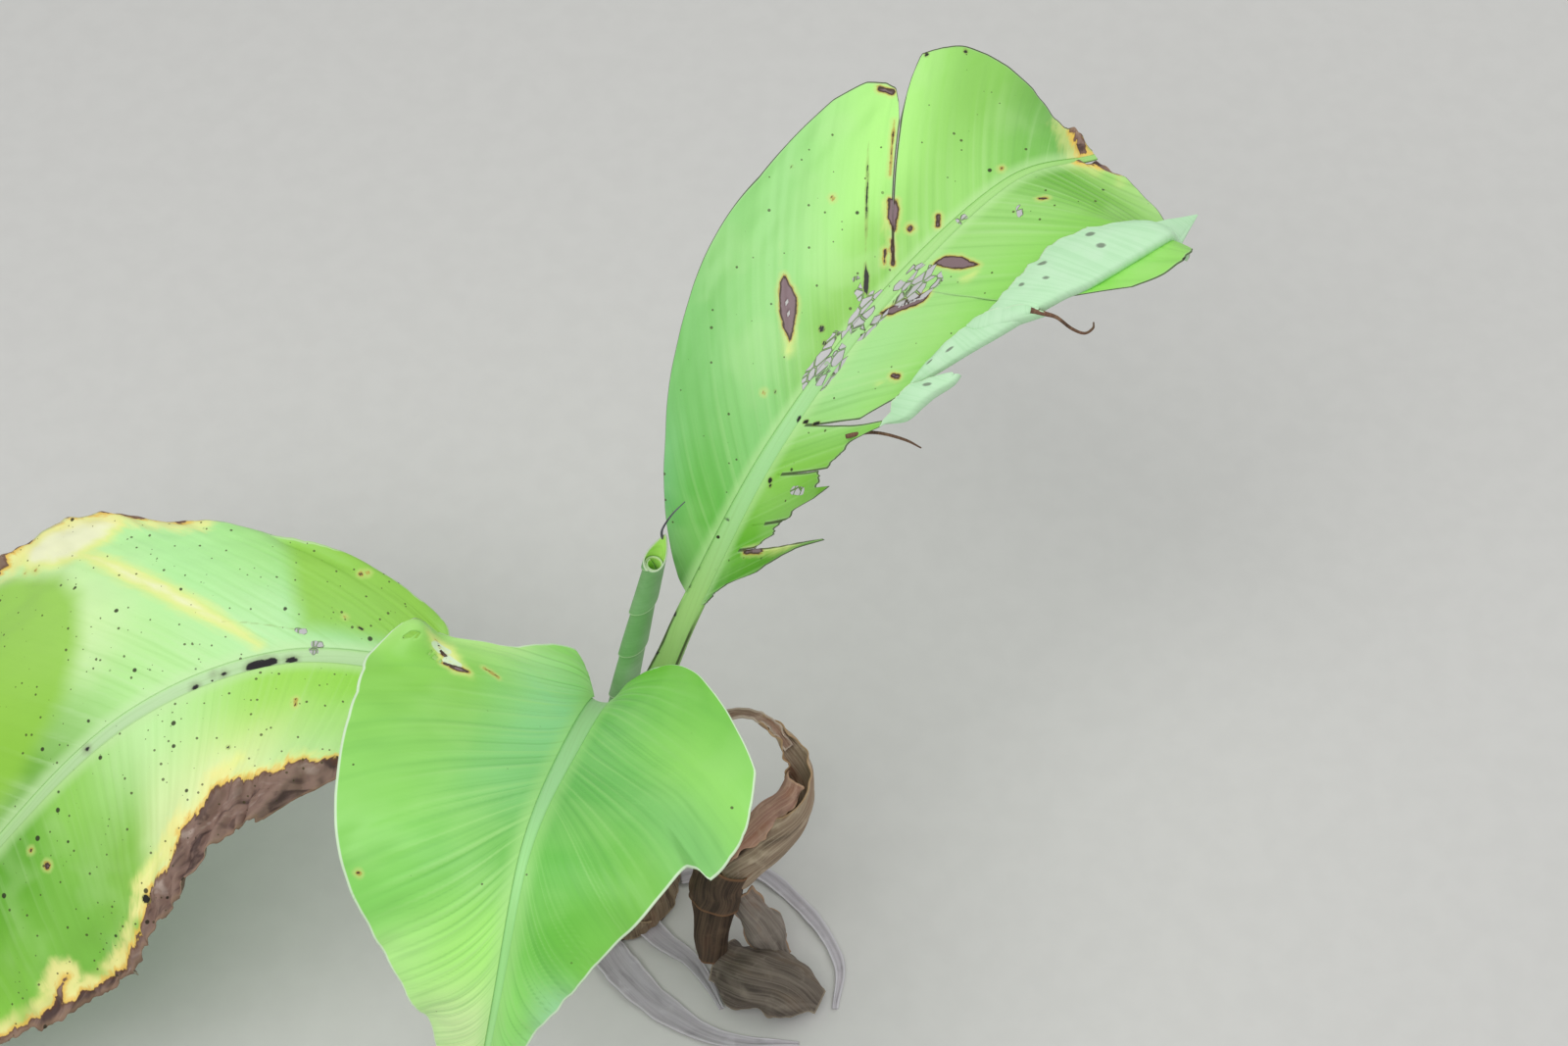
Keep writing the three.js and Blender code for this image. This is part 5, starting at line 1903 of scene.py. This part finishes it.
# What folded over on the back leaf's right half: the long strip, a tongue and a flap.
FOLDED_STRIP = TornFold(BACK_LEAF, "back_leaf_folded_strip", crease=((0.4, 0.97), (0.41, 1.07),
    (0.43, 1.13), (0.458, 1.09), (0.492, 0.955), (0.522, 0.87), (0.54, 0.86), (0.568, 0.835), (0.61, 0.85),
    (0.68, 0.94), (0.74, 1.05)), margin=((0.396, 1.05), (0.415, 0.96), (0.445, 0.87), (0.475, 0.76),
    (0.5, 0.7), (0.522, 0.61), (0.552, 0.53), (0.588, 0.5), (0.62, 0.57), (0.65, 0.68), (0.69, 0.82)),
    lift=(1.5, 3.5, 5, 6, 6, 6, 6, 6, 5.5, 5, 5), long=180, wide=34, nodes=("back_leaf_fold",), arch=0.2,
    tip=(298.7, 165.7, 378), tip_start=0.8, spots=((0.62, 0.8, 1), (0.6, 0.55, 0.7), (0.5, 0.85, 0.8),
    (0.18, 0.6, 1.2), (0.13, 0.72, 0.9), (0.42, 0.8, 0.7), (0.46, 0.62, 0.6)))
FOLDED_TONGUE = TornFold(BACK_LEAF, "back_leaf_folded_tongue", crease=((0.474, 0.8), (0.472, 0.86),
    (0.474, 0.92), (0.481, 0.96), (0.489, 0.98), (0.496, 0.985), (0.5, 0.985)), margin=((0.477, 0.75),
    (0.487, 0.73), (0.495, 0.73), (0.5, 0.78), (0.503, 0.84), (0.503, 0.91), (0.502, 0.97)), lift=(5.5,
    6.5, 7, 7, 7, 6.5, 6), long=36, wide=12, arch=0.15, scallop=0.06)
FOLDED_FLAP = TornFold(BACK_LEAF, "back_leaf_folded_flap", crease=((0.356, 1.14), (0.352, 1.4),
    (0.368, 1.44), (0.38, 1.46), (0.392, 1.52), (0.406, 1.45)), margin=((0.352, 1.1), (0.366, 1.14),
    (0.383, 1.08), (0.397, 1.1), (0.406, 1.2), (0.409, 1.4)), lift=(1, 4, 6, 6, 5.5, 5), long=44, wide=14,
    arch=0.2, scallop=0.08, spots=((0.7, 0.6, 0.8),))
FOLDS = [FOLDED_STRIP, FOLDED_TONGUE, FOLDED_FLAP]

# The dried threads at the rolled leaf's tip and at the back leaf's torn ends.
TIP_TISSUE = DriedLeaf(name="dried leaf tip", body="#57535f", pale="#77717e", dark="#35323b",
    flush="#5e5763")
TORN_TISSUE = DriedLeaf(name="dried leaf thread", body="#6b4f3c", pale="#9a7a5e", dark="#35271f",
    flush="#7b5243")
THREAD_LINES = (
    (
        "rolled_leaf_thread",
        ((39.2, 1.3, 336), (38.7, -0.3, 343), (39.8, -0.6, 349), (44, 2.4, 355), (50, 6, 360)),
        (0.8, 0.65, 0.5, 0.4, 0.25), TIP_TISSUE, "rolled_leaf",
    ),
    (
        "back_leaf_thread_long",
        ((213, 97.5, 388), (220, 97, 386), (226, 97, 383), (233, 94.5, 378), (239.5, 94.7, 374),
            (244, 99.3, 372), (244.6, 103, 372)),
        (1.5, 1.2, 0.9, 0.8, 0.7, 0.6, 0.4), TORN_TISSUE, "blade_underside",
    ),
    (
        "back_leaf_thread_low",
        ((126, 66, 330), (131, 67.6, 329.8), (138, 70, 328), (146, 71, 325), (156, 71, 320),
            (163, 69.5, 316)),
        (1.2, 1.1, 0.9, 0.8, 0.7, 0.4), TORN_TISSUE, "back_blade",
    ),
)
THREADS = [DryThread(name, Limb(path, radius, (90, 90), 20), finish, slot)
        for name, path, radius, finish, slot in THREAD_LINES]

# The dead leaf at the right: its stalk, hanging blade, rolled tube, collar and hood.
DEAD_STALK = DriedLeaf(name="dried leaf stalk", pale="#c8b09e", body="#957a68", dark="#57433a",
    flush="#a5806c", rim="#d6c4b2")
DEAD_BLADE = DriedLeaf(name="dried leaf blade", pale="#d6c2a8", body="#96806a", dark="#33271f",
    flush="#8c6248", rim="#c29d74")
DEAD_FLAP = DriedLeaf(name="dried reddish leaf flap", pale="#d4b29c", body="#a4796a", dark="#4f3529",
    flush="#a8745c", rim="#d6b090")
DEAD_ROLL = DriedLeaf(name="dried rolled blade", pale="#77614d", body="#44362a", dark="#251c16",
    flush="#5a4232", rim="#8f6747")
DEAD_PAPER = DriedLeaf(name="papery grey leaf", pale="#a0958a", body="#7b7066", dark="#4b433c",
    flush="#877060")
DEAD_HOOD = DriedLeaf(name="weathered leaf hood", pale="#968a7c", body="#5c5148", dark="#322b26",
    flush="#6f5f50", rim="#a89984")
DEAD_SLOT = "dead_leaf"
DEAD_LEAF = [
    DrySheet("dead_leaf_stalk_sheath", Limb(((0, 0, 21), (3, 0, 50), (13, 4, 78), (28, 13, 104),
        (48, 24, 123), (70, 31, 132), (88, 26, 132), (99, 14, 124)), (33, 29.5, 18, 9, 5.5, 4, 4, 3.6),
        (66, 66, 70, 75, 75, 75, 75, 75), 5), DEAD_STALK, DEAD_SLOT, ("dead_leaf_stalk",), crumple=0.4,
        crease=0.25, creases=5, ragged=0.03, thickness=1.2, seed=21),
    DrySheet("dead_leaf_hanging_blade", Limb(((84, 27, 133), (98, 17, 127), (104, 4, 114), (99, -8, 95),
        (84, -17, 76), (68, -26, 60)), (3.8, 5.5, 9, 12.5, 14, 12.5), (75, 85, 95, 110, 130, 150), 5,
        twist=(0, -15, -40, -65, -88, -100)), DEAD_BLADE, DEAD_SLOT, ("dead_leaf_blade",), crumple=1,
        crease=0.3, creases=4, ragged=0.06, seed=22),
    DrySheet("dead_leaf_reddish_flap", Limb(((104, 2, 112), (99, -5, 101), (88, -12, 90), (74, -19, 77),
        (66, -24, 68)), (7, 9.5, 11, 10, 8), (75, 82, 80, 70, 50), 5, twist=(146, 146, 150, 154, 158)),
        DEAD_FLAP, DEAD_SLOT, crumple=0.7, crease=0.25, creases=3, ragged=0.1, seed=25),
    DrySheet("dead_leaf_collar", Limb(((66, -26, 70), (61, -31, 58), (58, -37, 48)), (13, 15.5, 15), (165,
        168, 150), 5, twist=(-100, -120)), DEAD_ROLL, DEAD_SLOT, crumple=0.8, crease=0.25, creases=6,
        ragged=0.08, seed=26),
    DrySheet("dead_leaf_rolled_tube", Limb(((68, -24.6, 62), (60, -31, 46), (57, -42, 28), (57, -52, 12)),
        (12, 12.5, 11, 9), (165, 168, 168, 160), 5, twist=(-100, -140)), DEAD_ROLL, DEAD_SLOT,
        ("dead_leaf_roll",), crumple=0.6, crease=0.25, creases=7, ragged=0.04, seed=23),
    DrySheet("dead_leaf_papery_sheet", Limb(((70, -30, 50), (78, -37, 34), (86, -43, 20), (95, -48, 8)),
        (10, 13, 13, 9), (50, 62, 58, 40), 5, twist=(150, 165, 160, 150)), DEAD_PAPER, DEAD_SLOT,
        crumple=1.3, crease=0.3, creases=4, ragged=0.12, seed=27),
    DrySheet("dead_leaf_open_hood", Limb(((62, -54, 5), (78, -64, 8), (98, -72, 8), (114, -79, 4)), (14,
        20, 19, 10), (78, 84, 78, 50), 5, twist=(178, 176, 184, 180)), DEAD_HOOD, DEAD_SLOT,
        ("dead_leaf_hood",), crumple=1.2, crease=0.25, creases=3, ragged=0.1, seed=24),
]

# The dry scales of old sheaths that wrap the foot and hide where the leaves start.
SHEATH_TISSUE = DriedLeaf(name="dry sheath scale", pale="#b09c80", body="#7f6a52", dark="#45382c",
    flush="#8f7058", rim="#bfa684", fibre=0.9, fibre_share=0.5)
SHEATH_PLACES = ((95, 47, 41), (172, 60, 42), (248, 52, 43), (318, 44, 44))
OLD_SHEATHS = [
    DrySheet(
        f"old_sheath_scale_{number}",
        Limb(((0, 0, 2.5), (0, 0, height * 0.4), (0, 0, height * 0.75), (0, 0, height)),
             (38.5, 36.0, 33.0, 29.5), (56, 52, 36, 8), heading),
        SHEATH_TISSUE, "leaf_sheath", crumple=0.7, crumple_size=18, crease=0.35, creases=9,
        ragged=0.12, thickness=0.9, seed=seed,
    )
    for number, (heading, height, seed) in enumerate(SHEATH_PLACES, 1)
]

# The straps of older leaves round the foot.
PALE_TISSUE = DriedLeaf(name="bleached leaf strap", pale="#d0cbcf", body="#aea8ac", dark="#746e72",
    flush="#b9b1b5", rim="#dcd7da", fibre=0.8, fibre_share=0.35)
RIBBON_TISSUE = DriedLeaf(name="bleached leaf ribbon", pale="#d5d0d4", body="#b9b3b7", dark="#827c80",
    flush="#c3b9be", rim="#dedadd", fibre=0.8, fibre_share=0.3)
DRY_STRAPS = [
    DryStrap("dry_strap_front_ribbon", ((-3, -39.5, 0.2), (6, -54, 0.2), (30, -78, 0.2), (62, -96, 0.2),
        (104, -99, 0.2)), (18, 20, 16, 9, 3), PALE_TISSUE, 31, ("dry_strap_front",)),
    DryStrap("dry_strap_second_ribbon", ((18, -26, 1.5), (30, -38, 1.2), (44, -48, 0.6), (54, -62, 0.2),
        (62, -78, 0.2)), (14, 12, 9, 6, 3), PALE_TISSUE, 33),
    DryStrap("dry_strap_right_ribbon", ((38, 2, 0.2), (77, 8, 0.2), (108, -18, 0.2), (126, -50, 0.2),
        (124, -78, 0.2)), (8, 9, 8, 6, 3), RIBBON_TISSUE, 32, ("dry_strap_right",)),
]


def main() -> None:
    """Builds the plant from the foot up, then the studio."""
    logging.basicConfig(level=logging.INFO, format="%(name)s: %(message)s")
    Stem(DriedLeaf(name="fibrous leaf base", pale="#9a8a6c", body="#6b5a44")).build()
    leaves = (BACK_LEAF, FRONT_LEAF, LEFT_LEAF, ROLLED_LEAF)
    for piece in (*leaves, *FOLDS, *THREADS, *DEAD_LEAF, *OLD_SHEATHS, *DRY_STRAPS):
        piece.build()
    Studio().build()


if __name__ == "__main__":
    main()
